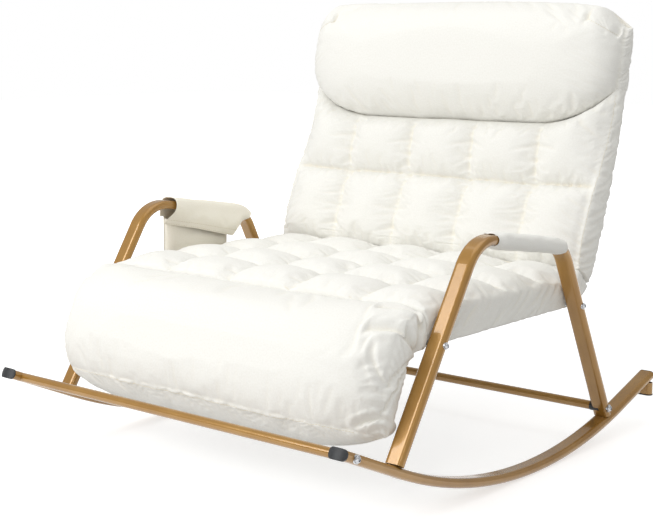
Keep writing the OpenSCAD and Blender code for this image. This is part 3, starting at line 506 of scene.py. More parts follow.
def stitchRun(name, carrier, lane):
    # lays the run on the carrier's surface, whose nearest point each place of the lane finds
    cloth = carrier.data
    surface = BVHTree.FromPolygons([v.co for v in cloth.vertices], [f.vertices for f in cloth.polygons])
    found = []
    for place in lane:
        spot, normal, _, _ = surface.find_nearest(Vector(place))
        found.append(tuple(spot + normal * stitchLook["Thread Radius"] * 0.8))
    data = bpy.data.meshes.new(name)
    data.from_pydata(found, [(i, i + 1) for i in range(len(found) - 1)], [])
    run = bpy.data.objects.new(name, data)
    scene.collection.objects.link(run)
    made = run.modifiers.new("stitches", "NODES")
    made.node_group = stitches
    for item in stitches.interface.items_tree:
        if item.in_out == "INPUT" and item.name in stitchLook:
            made[item.identifier] = stitchLook[item.name]
    makePlain(run)
    if not run.data.uv_layers:
        run.data.uv_layers.new(name="cloth")
    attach(run, "root")


# tufted pads and bolsters
def padRings(rowShares, acrossShares, sAt, top, under, side):
    # one closed ring for each row: over the top, down one side, back underneath and up the other side
    half = chair["halfWidth"]
    x = acrossShares * half
    xUnder = np.linspace(1, -1, side["underCount"]) * (half - 0.001)
    drop = np.linspace(0, 1, side["rows"] + 2)[1:-1]
    rings = []
    for t in rowShares:
        crown = onSpine(sAt(t, x), top(sAt(t, x), x), x)
        swell = side["bulge"] * np.sin(np.pi * drop) ** 0.6 + sidePleats(t, drop, side["pleats"])
        if "dents" in side:
            swell = swell - side["dents"](t, drop)
        strips = []
        for hand in (1, -1):
            xEdge = np.array([hand * half])
            sEdge = sAt(t, xEdge)
            offs = mix(top(sEdge, xEdge)[0], under(sEdge, xEdge)[0], drop)
            strips.append(onSpine(np.full(drop.shape, sEdge[0]), offs, hand * (half + swell)))
        below = onSpine(sAt(t, xUnder), under(sAt(t, xUnder), xUnder), xUnder)
        rings.append(np.concatenate([crown, strips[0], below, strips[1][::-1]]))
    return np.array(rings)


def padPlaces(rowShares, acrossShares, sAt):
    # the place across and along the pad of each point on its top
    x = acrossShares[None, :] * chair["halfWidth"] + 0 * rowShares[:, None]
    return x, sAt(rowShares[:, None], x)


def heldWeights(onTop, side):
    # how firmly each point is held while the cloth settles, in the order of padRings
    sides = np.full((len(onTop), side["rows"]), side["held"])
    under = np.full((len(onTop), side["underCount"]), side["underHeld"])
    held = np.hstack([onTop, sides, under, sides])
    rows = side["endRows"]
    held[:rows] = held[-rows:] = fullyHeld
    return held


def makePad(name, rings, held, crownCount, look):
    middle = rings[len(rings) // 2]
    around, along = runAlong(np.vstack([middle, middle[:1]])), runAlong(rings[:, rings.shape[1] // 6])
    piece = gridMesh(name, rings, around, along, True, cloths["creamCanvas"], caps=crownCount)
    faceOutwards(piece)
    plumpUp(piece, held.ravel(), look)
    divide(piece)
    markCreases(piece)
    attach(piece, "root")
    return piece


columnSeams = np.array([-0.2696, -0.0899, 0.0899, 0.2696])
columnEdges = np.array([-chair["halfWidth"], *columnSeams, chair["halfWidth"]])

# how each cushion is quilted: heights, and how far tufts, grooves and folds reach
seatQuilt = {"puff": 0.0150, "rowPower": 2.4, "columnPower": 2.2, "tuftDepth": 0.009,
             "groove": 0.0035, "grooveReach": 0.006, "rowGroove": 0.0035, "seed": 2.1,
             "folds": {"height": 0.0036, "reach": 0.034, "pitch": 0.015, "seed": 2.1},
             "rowFolds": {"height": 0.00252, "reach": 0.022, "pitch": 0.013, "seed": 5.1}}
backQuilt = {"puff": 0.027, "rowPower": 3.4, "columnPower": 2.3, "tuftDepth": 0.010,
             "groove": 0.0025, "grooveReach": 0.008, "rowGroove": 0.0125, "seed": 7.3,
             "folds": {"height": 0.0062, "reach": 0.040, "pitch": 0.0125, "seed": 7.3},
             "rowFolds": {"height": 0.00434, "reach": 0.022, "pitch": 0.013, "seed": 10.3}}
bothQuilts = {"tuftReach": 0.018, "rowGrooveReach": 0.0045, "drift": 0.004, "ripple": 0.0018, "border": 0.175}


def cellPlace(value, edges):
    index = np.clip(np.searchsorted(edges, value, side="right") - 1, 0, len(edges) - 2)
    low, high = edges[index], edges[index + 1]
    return (value - low) / (high - low), index


def dome(t, power):
    return 1 - np.abs(2 * np.clip(t, 0, 1) - 1) ** power


def nearest(value, seams):
    return np.min(np.abs(value[..., None] - seams), axis=-1)


def fromSide(x, reach):
    # 0 at the side of the cushion and 1 from its reach inwards
    return np.clip((chair["halfWidth"] - np.abs(x)) / reach, 0, 1)


def wander(x, s, seed):
    # no seam runs quite straight
    return x + 0.0055 * noiseAt(x * 4, s * 6, seed + 1), s + 0.0045 * noiseAt(x * 6, s * 4, seed + 2)


def quiltTop(x, s, rowEdges, quilt):
    inwards, seed = fromSide(x, bothQuilts["border"]), quilt["seed"]
    x, s = wander(x, s, seed)
    u, column = cellPlace(x, columnEdges)
    v, row = cellPlace(s, rowEdges)
    rise = quilt["puff"] * dome(u, quilt["columnPower"]) ** 0.9 * dome(v, quilt["rowPower"])
    rise = rise * (1 + 0.22 * noiseAt(column * 3.7 + seed, row * 5.1))
    dx, ds = nearest(x, columnSeams), nearest(s, rowEdges)
    tuft = quilt["tuftDepth"] * np.exp(-(dx ** 2 + ds ** 2) / (2 * bothQuilts["tuftReach"] ** 2))
    groove = (quilt["groove"] * np.exp(-dx / quilt["grooveReach"])
              + quilt["rowGroove"] * np.exp(-ds / bothQuilts["rowGrooveReach"]))
    folds = gathers(dx, s + 0.3 * dx, quilt["folds"]) + gathers(ds, x, quilt["rowFolds"])
    drift = bothQuilts["drift"] * noiseAt(x * 7, s * 7, seed + 9)
    drift = drift + bothQuilts["ripple"] * noiseAt(x * 23, s * 23, seed + 5)
    return (rise - tuft - groove + folds + drift) * np.clip(inwards * 9, 0, 1)


def holdQuilt(onTop, x, s, rowEdges, rowWeight):
    # seams are held in a band, tufts in a wider one
    bands = {"row": 0.004, "column": 0.003, "tuft": 0.012}
    onTop[nearest(s, rowEdges) < bands["row"]] = rowWeight
    onTop[nearest(x, columnSeams) < bands["column"]] = halfHeld
    onTop[(nearest(s, rowEdges) < bands["tuft"]) & (nearest(x, columnSeams) < bands["tuft"])] = fullyHeld
    onTop[:, [0, -1]] = fullyHeld


def seatCushion():
    look = {"fill": 0.7, "pressure": 3.0, "spare": 0.03, "frames": 16, "cap": 0.022,
            "pad": 0.072, "edge": 0.064, "hip": 0.050, "corner": 0.044}
    rowEdges = np.array([0.005, 0.1475, 0.290, 0.4325, chair["lumbarSeam"]])
    across, rows = np.linspace(-1, 1, 173), np.linspace(0, 1, 112)

    def sAt(t, x):
        return np.full(np.shape(x), mix(chair["kneeSeam"], chair["lumbarSeam"], t))

    def top(s, x):
        far = np.clip((s - rowEdges[0]) / (rowEdges[-1] - rowEdges[0]), 0, 1)
        edge = mix(look["edge"], look["corner"], np.clip(s / chair["lumbarSeam"], 0, 1))
        middle = mix(look["pad"], look["hip"], far ** 6)
        plain = mix(edge, middle, fromSide(x, bothQuilts["border"]) ** 0.4)
        return plain + quiltTop(x, s, rowEdges, seatQuilt)

    def under(s, x):
        return np.full(np.shape(x), chair["underside"])

    side = {"rows": 12, "bulge": 0.004, "underCount": 9,
            "held": halfHeld, "underHeld": fullyHeld, "endRows": 2,
            "pleats": {"height": 0.0085, "along": 22, "slant": 3.6, "down": 1.1, "sharp": 1.5, "seed": 4.0}}
    rings = padRings(rows, across, sAt, top, under, side)
    x, s = wander(*padPlaces(rows, across, sAt), seatQuilt["seed"])
    onTop = np.zeros(x.shape)
    holdQuilt(onTop, x, s, rowEdges, halfHeld)
    piece = makePad("seatCushion", rings, heldWeights(onTop, side), len(across), look)
    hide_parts("seat_cushion")


# where the back cushion meets the head bolster, in metres along the rail
headEdge = {"halfWidth": 0.433, "low": 0.968, "rise": 0.1, "hump": 0.010}


def headRise(x):
    return headEdge["rise"] * (np.abs(x) / headEdge["halfWidth"]) ** 6


def creaseAt(x):
    return headEdge["low"] + headRise(x) + headEdge["hump"] * (1 - (np.abs(x) / headEdge["halfWidth"]) ** 2)


def backCushion():
    look = {"fill": 0.7, "pressure": 3.0, "spare": 0.035, "frames": 16, "cap": 0.022, "end": 0.985,
            "crease": 0.029, "creaseReach": 0.032, "creaseHeld": 0.007, "under": -0.0118,
            "sideFolds": {"height": 0.0055, "reach": 0.05, "pitch": 0.013, "seed": 3.9},
            "creaseFolds": {"height": 0.004, "reach": 0.03, "pitch": 0.014, "seed": 6.4}}
    rowEdges = np.array([chair["lumbarSeam"], 0.830, 1.035])
    across, rows = np.linspace(-1, 1, 173), np.linspace(0, 1, 104)
    # heights of its side edge and of its middle, at places along the rail
    edgeAt = np.array([0.62, 0.644, 0.701, 0.81, 0.882, 0.96, 1.008, 1.08])
    edgeOff = np.array([0.050, 0.056, 0.066, 0.064, 0.047, 0.034, 0.030, 0.030])
    middleAt, middleOff = [0.6215, 0.66, 0.72, 1.1], [0.050, 0.056, 0.058, 0.058]

    def pulled(x, s):
        # the upper row of puffs follows the rise of the head bolster's edge
        return s - headRise(x) * smooth((s - rowEdges[1]) / 0.14)

    def sAt(t, x):
        return mix(chair["lumbarSeam"], look["end"] + headRise(x), t)

    def top(s, x):
        inwards = fromSide(x, bothQuilts["border"])
        toCrease = creaseAt(x) - s
        full = mix(np.interp(s, edgeAt, edgeOff), np.interp(s, middleAt, middleOff), inwards ** 0.45)
        full = full + gathers(chair["halfWidth"] - np.abs(x), s + 0.55 * np.abs(x), look["sideFolds"])
        full = full + quiltTop(x, pulled(x, s), rowEdges, backQuilt)
        full = full + gathers(toCrease, x + 0.3 * toCrease, look["creaseFolds"])
        return mix(look["crease"], full, np.clip(toCrease / look["creaseReach"], 0, 1) ** 0.42)

    def under(s, x):
        return np.full(np.shape(x), look["under"])

    side = {"rows": 12, "bulge": 0.007, "underCount": 9, "held": 0, "underHeld": fullyHeld, "endRows": 2,
            "pleats": {"height": 0.0046, "along": 26, "slant": -3.4, "down": 0.9, "sharp": 1.6, "seed": 8.0}}
    rings = padRings(rows, across, sAt, top, under, side)
    x, s = padPlaces(rows, across, sAt)
    onTop = np.where(creaseAt(x) - s < look["creaseHeld"], fullyHeld, 0.0)
    x, s = wander(x, pulled(x, s), backQuilt["seed"])
    holdQuilt(onTop, x, s, rowEdges, fullyHeld)
    piece = makePad("backCushion", rings, heldWeights(onTop, side), len(across), look)
    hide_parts("back_cushion")
    sewn = slice(4, 96)   # rows of the rings that the side seams pass
    for name, edge in (("backSeamLeft", len(across) - 1), ("backSeamRight", 0)):
        stitchRun(name, piece, rings[sewn, edge])


# the seam that cuts off each upper corner of the head bolster, as places across and along it
cornerSeam = np.array([(0.361, 1.2167), (0.424, 1.181)])


def headBolster():
    look = {"fill": 0.85, "pressure": 3.2, "spare": 0.012, "frames": 14, "cap": 0.012, "end": 1.272,
            "crown": 0.110, "crownEnd": 0.034, "foot": 0.038, "footEnd": 0.030, "topEdge": 0.008,
            "backStart": 1.195, "backSwell": 0.027, "seamDepth": 0.0045, "pinch": 0.017,
            "seamFolds": {"height": 0.0035, "reach": 0.03, "pitch": 0.009, "seed": 8.8},
            "creaseFolds": {"height": 0.0032, "reach": 0.03, "pitch": 0.024, "seed": 1.7},
            "sideFolds": {"height": 0.0045, "reach": 0.06, "pitch": 0.014, "seed": 5.1}}
    across = np.sin(np.linspace(-1, 1, 170) * math.pi / 2 * 0.9) / math.sin(math.pi / 2 * 0.9)
    rows = mix((1 - np.cos(np.linspace(0, 1, 104) * math.pi)) / 2, np.linspace(0, 1, 104), 0.3)

    def headDrop(x):
        # the corner on the right-hand side is filled more tightly
        far = np.abs(x)
        right = 0.004 * (far / 0.34) ** 2 + 0.045 * smooth((far - 0.375) / 0.06) ** 1.5
        left = 0.017 * (far / 0.34) ** 2 + 0.04 * smooth((far - 0.36) / 0.075) ** 1.5
        return np.where(x < 0, right, left)

    def sAt(t, x):
        return mix(creaseAt(x), look["end"] - headDrop(x), t)

    def cornerForm(s, x):
        (seamX, seamS), far = cornerSeam[0], np.abs(x)
        away, part = toSegment(x, s, cornerSeam[0], cornerSeam[1])
        beyond = (s - seamS) * 0.88 + (far - seamX) * 0.48
        form = gathers(away, part * 0.1, look["seamFolds"]) * (beyond > 0)
        form = form - look["seamDepth"] * np.exp(-away / 0.0035)
        for spotX, spotS in cornerSeam:
            near = np.hypot((far - spotX) / 0.006, (s - spotS - 0.006) / 0.015)
            form = form - look["pinch"] * np.exp(-near ** 2)
        return form

    def top(s, x):
        low, high = sAt(0, x), sAt(1, x)
        share = np.clip((s - low) / (high - low), 0, 1)
        far = np.abs(x) / chair["halfWidth"]
        full = mix(look["crownEnd"], look["crown"], np.clip(1 - far ** 7, 0, 1) ** 0.45)
        foot = mix(look["footEnd"], look["foot"], np.clip(1 - far ** 6, 0, 1))
        base = mix(foot, look["topEdge"], share)
        arc = np.clip(1 - np.abs(2 * share - 1) ** 2.7, 0, 1) ** (1 / 2.4)
        drift = 0.005 * noiseAt(x * 4, s * 5, 3.3) * np.clip(4 * (1 - far), 0, 1)
        folds = gathers(share * 0.3, x, look["creaseFolds"])
        folds = folds + gathers((1 - far) * 0.43, s + 0.5 * np.abs(x), look["sideFolds"])
        body = base + (full - base) * arc
        return body + cornerForm(s, x) + (drift + folds) * np.clip(arc * 2, 0, 1)

    def under(s, x):
        high = sAt(1, x)
        start = look["backStart"] - headDrop(x)
        share = np.clip((s - start) / (high - start), 0, 1)
        back = look["backSwell"] * np.clip(dome(mix(0.08, 1, share), 2.6), 0, 1) ** (1 / 2.6)
        back = back * np.clip(1 - (np.abs(x) / 0.44) ** 8, 0, 1)
        return np.where(s < start, chair["underside"], mix(chair["underside"], 0.0, share ** 3) - back)

    side = {"rows": 12, "bulge": 0.009, "underCount": 41, "held": 0, "underHeld": halfHeld, "endRows": 1,
            "pleats": {"height": 0.0046, "along": 16, "slant": -3.4, "down": 0.9, "sharp": 1.6, "seed": 2.0}}
    rings = padRings(rows, across, sAt, top, under, side)
    x, s = padPlaces(rows, across, sAt)
    piece = makePad("headBolster", rings, heldWeights(np.zeros(x.shape), side), len(across), look)
    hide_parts("head_bolster")
    spots = rings[:, :len(across)].reshape(-1, 3)
    for name, hand in (("headCornerLeft", 1), ("headCornerRight", -1)):
        lane = []
        for part in np.linspace(0.04, 0.96, 26):
            seamX, seamS = mix(cornerSeam[0], cornerSeam[1], part)
            lane.append(spots[np.argmin((x - hand * seamX) ** 2 + (s - seamS) ** 2)])
        stitchRun(name, piece, lane)


def pipingAt(x):
    # the seam above the hanging panel of the front bolster, along the rail
    return -0.2148 + 0.005 * (np.abs(x) / 0.417) ** 3


# folds that run out of the ends of the front bolster: from, to and depth
endFolds = (((0.362, -0.020), (0.436, -0.002), 0.015), ((0.378, -0.052), (0.440, -0.036), 0.015),
            ((0.405, -0.070), (0.432, -0.118), 0.008), ((0.395, -0.203), (0.430, -0.176), 0.010))


def frontBolster():
    look = {"fill": 0.85, "pressure": 3.2, "spare": 0.012, "frames": 14, "cap": 0.012, "lowest": -0.2526,
            "tuck": 0.046, "underStart": -0.2064, "belly": 0.013, "seamDepth": 0.0055, "seamReach": 0.0035,
            "thinnest": 0.006, "rightFolds": 0.2, "rightStars": 0.4, "threadBelow": 0.003,
            "panelFolds": {"height": 0.0085, "reach": 0.07, "pitch": 0.014, "seed": 2.9},
            "seamFolds": {"height": 0.0016, "reach": 0.04, "pitch": 0.016, "seed": 3.4},
            "sideFolds": {"height": 0.0035, "reach": 0.07, "pitch": 0.026, "seed": 6.1},
            "kneeStar": {"height": 0.003, "at": (0.44, -0.010), "reach": 0.09, "seed": 9.2},
            "footStar": {"height": 0.004, "at": (0.41, -0.212), "reach": 0.05, "seed": 4.7}}
    knee = chair["kneeSeam"]
    # heights at shares of the way down from the knee, in the middle and at either end
    middleShares, middleOff = [0, 0.35, 0.7, 1], [0.074, 0.096, 0.094, 0.07]
    endShares, leftOff = [0, 0.15, 0.6, 1], [0.060, 0.050, 0.040, 0.028]
    rightOff = [0.064, 0.068, 0.060, 0.038]
    across = np.sin(np.linspace(-1, 1, 150) * math.pi / 2 * 0.93) / math.sin(math.pi / 2 * 0.93)
    rows = np.linspace(0, 1, 96)

    def sAt(t, x):
        tuck = look["tuck"] * (np.abs(x) / chair["halfWidth"]) ** 6
        return mix(look["lowest"] + tuck, knee, t)

    def wrinkles(s, x):
        below = pipingAt(x) - s
        far = np.abs(x) / chair["halfWidth"]
        folds = -look["seamDepth"] * np.exp(-np.abs(below) / look["seamReach"])
        folds = folds + gathers(-below, x, look["seamFolds"]) * (below < 0)
        folds = folds + gathers((1 - far) * 0.43, s - 0.5 * np.abs(x), look["sideFolds"])
        stars = starFolds(x, s, look["kneeStar"]) + starFolds(x, s, look["footStar"])
        folds = folds + stars * np.where(x > 0, 1, look["rightStars"])
        for begin, finish, deep in endFolds:
            away, part = toSegment(x, s, begin, finish)
            ridge = 0.35 * np.exp(-((away - 0.010) / 0.005) ** 2)
            fold = ridge - mix(0.3, 1, part) * np.exp(-((away / 0.0038) ** 2))
            folds = folds + deep * fold * np.where(x > 0, 1, look["rightFolds"])
        return folds + 0.004 * noiseAt(x * 4, s * 6, 1.3)

    def top(s, x):
        share = np.clip((knee - s) / (knee - sAt(0, x)), 0, 1)
        inwards = fromSide(x, 0.16)
        middle = np.interp(share, middleShares, middleOff)
        edge = np.where(x < 0, np.interp(share, endShares, rightOff), np.interp(share, endShares, leftOff))
        body = mix(edge, middle, (1 - (1 - inwards) ** 2.3) ** 0.55)
        rounded = np.clip(1 - np.abs((share - 0.62) / 0.38) ** 2.6, 0, 1) ** (1 / 2.6)
        close = np.where(share < 0.62, 1, rounded)
        start = 0.012 * np.exp(-share / 0.035)
        below = pipingAt(x) - s
        panel = gathers(below, x - 1.1 * below, look["panelFolds"]) * smooth(below / 0.006)
        panel = panel * np.clip(close * 3, 0, 1)
        body = look["thinnest"] + (body - look["thinnest"]) * close - start + panel
        return body + wrinkles(s, x) * np.clip(close * 2 - 0.2, 0, 1)

    def under(s, x):
        start = look["underStart"] + 0.03 * (np.abs(x) / chair["halfWidth"]) ** 6
        share = np.clip((start - s) / (start - sAt(0, x)), 0, 1)
        belly = look["belly"] * dome(mix(0.1, 1, share), 2.4)
        return np.where(s > start, chair["underside"], mix(chair["underside"], 0.003, share ** 2) - belly)

    def dents(t, drop):
        # the end folds run on round the side and draw together on their way down
        s = mix(look["lowest"] + look["tuck"], knee, t)
        sunk = 0
        for _, finish, deep in endFolds:
            sunk = sunk + 1.1 * deep * np.exp(-(((s - mix(finish[1], -0.03, 0.8 * drop)) / 0.006) ** 2))
        return 0.8 * sunk

    side = {"rows": 12, "bulge": 0.008, "underCount": 41, "held": 0, "underHeld": halfHeld, "endRows": 1,
            "pleats": {"height": 0.0035, "along": 16, "slant": 2.4, "down": 0.9, "sharp": 1.6, "seed": 6.0},
            "dents": dents}
    rings = padRings(rows, across, sAt, top, under, side)
    x, s = padPlaces(rows, across, sAt)
    onTop = np.zeros(x.shape)
    for begin, finish, _ in endFolds:
        away, _ = toSegment(x, s, begin, finish)
        onTop[(away < 0.005) & (x > 0)] = halfHeld
    piece = makePad("frontBolster", rings, heldWeights(onTop, side), len(across), look)
    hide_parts("front_bolster")
    laneX = np.linspace(-0.39, 0.39, 120)
    laneS = pipingAt(laneX) - look["threadBelow"]
    stitchRun("frontSeam", piece, onSpine(laneS, top(laneS, laneX), laneX))


seatCushion()
backCushion()
headBolster()
frontBolster()
print("pads made")


# slings and the rear panel
def thinSheet(name, rings, material, thickness, cadNode):
    around, along = runAlong(rings[len(rings) // 2]), runAlong(rings[:, rings.shape[1] // 2])
    piece = gridMesh(name, rings, around, along, False, material)
    solid = piece.modifiers.new("thickness", "SOLIDIFY")
    solid.thickness = thickness
    solid.offset = 0
    makePlain(piece)
    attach(piece, "root")
    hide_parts(cadNode)


def slingProfile():
    # once across the chair, wrapped round the rail at either side
    look = {"radius": 0.0109, "wrap": (-250, 90), "wrapCount": 34, "flatCount": 60}
    radius, rail = look["radius"], chair["railX"]
    turn = math.pi - np.radians(np.linspace(*look["wrap"], look["wrapCount"]))
    left = [(-rail + radius * math.cos(a), radius * math.sin(a)) for a in turn]
    middle = [(x, radius) for x in np.linspace(-rail + 0.004, rail - 0.004, look["flatCount"])]
    right = [(-x, off) for x, off in left[::-1]]
    return np.array(left + middle + right)


def slings():
    profile = slingProfile()
    across = profile[:, 0]
    for name, cadNode, carrier, start, end, cuts, sag in (
        ("seatSling", "seat_sling", "seat_frame", 0.036, 0.5265, 60, 0.0012),
        ("backSling", "back_sling", "back_frame", 0.667, 1.0925, 50, 0.0),
    ):
        rings = np.array([onSpine(s, profile[:, 1], across) for s in np.linspace(start, end, cuts)])
        along = np.sin(np.linspace(0, np.pi, cuts))[:, None]
        rings[..., 2] -= sag * along * np.clip(1 - (np.abs(across) / 0.39) ** 2, 0, 1)
        thinSheet(name, rings, cloths["slingWeave"], 0.0011, cadNode)


def rearPanel():
    look = {"halfWidth": 0.4152, "start": 0.598, "end": 1.19, "off": -0.0132, "thickness": 0.0012,
            "folds": {"height": 0.002, "reach": 0.03, "pitch": 0.02, "seed": 4.4}}
    across = np.linspace(-look["halfWidth"], look["halfWidth"], 120)
    fromEdge = look["halfWidth"] - np.abs(across)
    rings = []
    for s in np.linspace(look["start"], look["end"], 90):
        folds = 0.0016 * noiseAt(across * 9, s * 4, 3.0) + gathers(fromEdge, s, look["folds"])
        rings.append(onSpine(s, look["off"] + folds * 0.6, across))
    # its cut size allows a little for the folds
    thinSheet("rearPanel", np.array(rings), cloths["creamCanvas"], look["thickness"],
              "rear_panel")


slings()
rearPanel()
print("slings and rear panel made")


# arm sleeves
def layArmRoute():
    foot, front, rear, end = (-0.4855, 0.1049), chair["armFront"], chair["armRear"], (0.294, 0.0577)
    bends = (0.09, 0.078)   # radius of the front and of the rear bend
    headings = [math.degrees(math.atan2(b[1] - a[1], b[0] - a[0]))
                for a, b in ((foot, front), (front, rear), (rear, end))]
    turns = (headings[1] - headings[0], headings[2] - headings[1])
    cuts = [r * math.tan(math.radians(abs(t)) / 2) for r, t in zip(bends, turns)]
    arcs = [r * math.radians(abs(t)) for r, t in zip(bends, turns)]
    steps = [(math.dist(foot, front) - cuts[0], 0), (arcs[0], turns[0]),
             (math.dist(front, rear) - cuts[0] - cuts[1], 0), (arcs[1], turns[1]),
             (math.dist(rear, end) - cuts[1], 0)]
    return {"start": foot, "heading": headings[0], "steps": steps}


armRoute = layArmRoute()
restStart = armRoute["steps"][0][0] + armRoute["steps"][1][0]   # where the armrest's straight begins
restLength = armRoute["steps"][2][0] + armRoute["steps"][3][0] * 0.62   # and on, part way round the rear bend


def armPoint(along, off, x):
    y, z, angle = walk(along, armRoute["start"], armRoute["heading"], armRoute["steps"])
    normal = np.radians(angle + 90)
    return np.stack([x, y + off * np.cos(normal) + chair["originShift"], z + off * np.sin(normal)], -1)


def joinEnds(piece, around, rows):
    # the last row meets the first, which closes the wall at the sleeve's front edge
    grown = bmesh.new()
    grown.from_mesh(piece.data)
    grown.verts.ensure_lookup_table()
    last = (rows - 1) * around
    for k in range(around):
        n = (k + 1) % around
        face = grown.faces.new([grown.verts[i] for i in (last + k, last + n, n, k)])
        face.smooth = True
    grown.to_mesh(piece.data)
    grown.free()


def leftArmSleeve():
    # a snug tube of cloth with an inner wall, whose faces take a darker tan cloth: painted shade for the
    # sleeve's shaded inside
    look = {"rows": 90, "around": 56, "outerPad": 0.0098, "inside": (0.93, 0.87), "stepAround": 0.0028,
            "before": 0.007, "short": 0.004,
            "endFolds": {"height": 0.0022, "reach": 0.02, "pitch": 0.012, "seed": 4.0}}
    start = restStart - look["before"]
    end = start + restLength - look["short"]
    turn = np.linspace(0, 2 * math.pi, look["around"], endpoint=False)
    c, s = np.cos(turn), np.sin(turn)
    outer, inner = [], []
    for share in np.linspace(0, 1, look["rows"]):
        ends = min(share, 1 - share) * (end - start)
        full = smooth(ends / 0.022)
        wide = mix(0.0228, 0.02 + look["outerPad"], full) * np.sign(c) * np.abs(c) ** 0.8
        high = np.where(s > 0, mix(0.0125, 0.0167, full), mix(0.0130, 0.0185, full))
        high = high * np.sign(s) * np.abs(s) ** 0.85
        folds = 0.0016 * noiseAt(share * 9 + c, s * 1.6 + 1, 3.0)
        folds = folds + gathers(ends, turn * 0.03, look["endFolds"])
        wide, high = wide * (1 + folds * 20), high + folds
        along = np.full(turn.shape, mix(start, end, share))
        outer.append(armPoint(along, high, chair["sideX"] + wide))
        inner.append(armPoint(along + 0.001 * (1 - 2 * share), high * look["inside"][1],
                              chair["sideX"] + wide * look["inside"][0]))
    rings = np.array(outer + inner[::-1])
    around = np.arange(look["around"] + 1) * look["stepAround"]
    piece = gridMesh("leftArmSleeve", rings, around, runAlong(rings[:, 0]), True, cloths["creamCanvas"])
    # the inner wall takes the darker tan cloth, as painted shade
    piece.data.materials.append(cloths["paintedShadeLining"])
    for face in piece.data.polygons[(look["rows"] + 1) * look["around"]:]:
        face.material_index = 1
    joinEnds(piece, look["around"], len(rings))
    faceOutwards(piece)
    divide(piece)
    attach(piece, "root")
    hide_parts("left_arm_sleeve")


def rightArmCover():
    # over the tube like a saddle, with a flap that hangs inside down to a double-stitched hem
    look = {"rows": 84, "hemThick": 0.0008, "slump": 0.010, "spread": 0.010, "thickness": 0.0022,
            "after": 0.010, "short": 0.012, "threadOut": 0.0015}
    start = restStart + look["after"]
    end = start + restLength - look["short"]
    # the saddle's section round the tube, from the outer edge over the top: across and up
    over = np.array([(-0.0284, -0.030), (-0.0286, -0.020), (-0.0286, -0.010), (-0.0282, 0.0),
                     (-0.0268, 0.007), (-0.0235, 0.0125), (-0.0180, 0.0160), (-0.0100, 0.0176),
                     (0.0, 0.0180), (0.0100, 0.0176), (0.0180, 0.0158), (0.0236, 0.0120),
                     (0.0268, 0.0062), (0.0280, -0.002)])
    # the hem's height and place across at shares of the way from the front, and how the flap slumps
    hemShares = [0, 0.3, 0.62, 0.80, 0.89, 0.95, 1.0]
    hemUp = [-0.047, -0.051, -0.059, -0.062, -0.058, -0.040, -0.0215]
    wideShares = [0, 0.06, 0.2, 0.5, 0.75, 0.92, 1.0]
    hemAcross = [-0.0262, -0.012, 0.008, 0.020, 0.018, 0.006, -0.012]
    slumpShares, slumpParts = [0, 0.15, 0.5, 0.85, 1], [0, 0.6, 1, 0.7, 0.0]
    flapX, flapUp = over[-1]
    down = np.linspace(0, 1, 17)[1:]
    band = smooth((down - 0.8) / 0.05) * look["hemThick"]
    rings = []
    for share in np.linspace(0, 1, look["rows"]):
        slump = look["slump"] * np.interp(share, slumpShares, slumpParts)
        hemWide = np.interp(share, wideShares, hemAcross)
        wide = mix(flapX, hemWide, down ** 1.25) + slump * np.clip(np.sin(np.pi * down), 0, 1) ** 1.2
        high = mix(flapUp, np.interp(share, hemShares, hemUp), down)
        folds = 0.0070 * noiseAt(share * 6 + down * 1.3, down * 1.1, 4.2)
        folds = folds * np.sin(np.pi * np.clip(down, 0, 0.93))
        folds = folds + 0.0028 * noiseAt(share * 17 - down * 2.0, down * 2.4, 6.6) * down
        drift = 0.0012 * noiseAt(share * 8, over[:, 0] * 40, 7.7)
        x = np.concatenate([over[:, 0] * (1 + drift * 12), wide + band + folds]) - chair["sideX"]
        off = np.concatenate([over[:, 1] + drift * (over[:, 1] > 0), high])
        shift = np.concatenate([np.zeros(len(over)), look["spread"] * down * (1 - share)])
        rings.append(armPoint(mix(start, end, share) + shift, off, x))
    rings = np.array(rings)
    ridge = 8   # column of the section at the top of the tube
    # the cover takes the brighter, warmer canvas: painted light
    piece = gridMesh("rightArmSleeve", rings, runAlong(rings[len(rings) // 2]), runAlong(rings[:, ridge]),
                     False, cloths["paintedLightCanvas"])
    solid = piece.modifiers.new("thickness", "SOLIDIFY")
    solid.thickness, solid.offset = look["thickness"], 0
    divide(piece)
    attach(piece, "root")
    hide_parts("right_arm_sleeve")
    for name, column in (("hemStitchUpper", -5), ("hemStitchLower", -2)):
        stitchRun(name, piece, rings[1:-6, column] + (look["threadOut"], 0, 0))


leftArmSleeve()
rightArmCover()
print("sleeves made")


# side pocket
def armHeight(y):
    (frontY, frontZ), (rearY, rearZ) = chair["armFront"], chair["armRear"]
    return frontZ + (y - frontY) * (rearZ - frontZ) / (rearY - frontY)


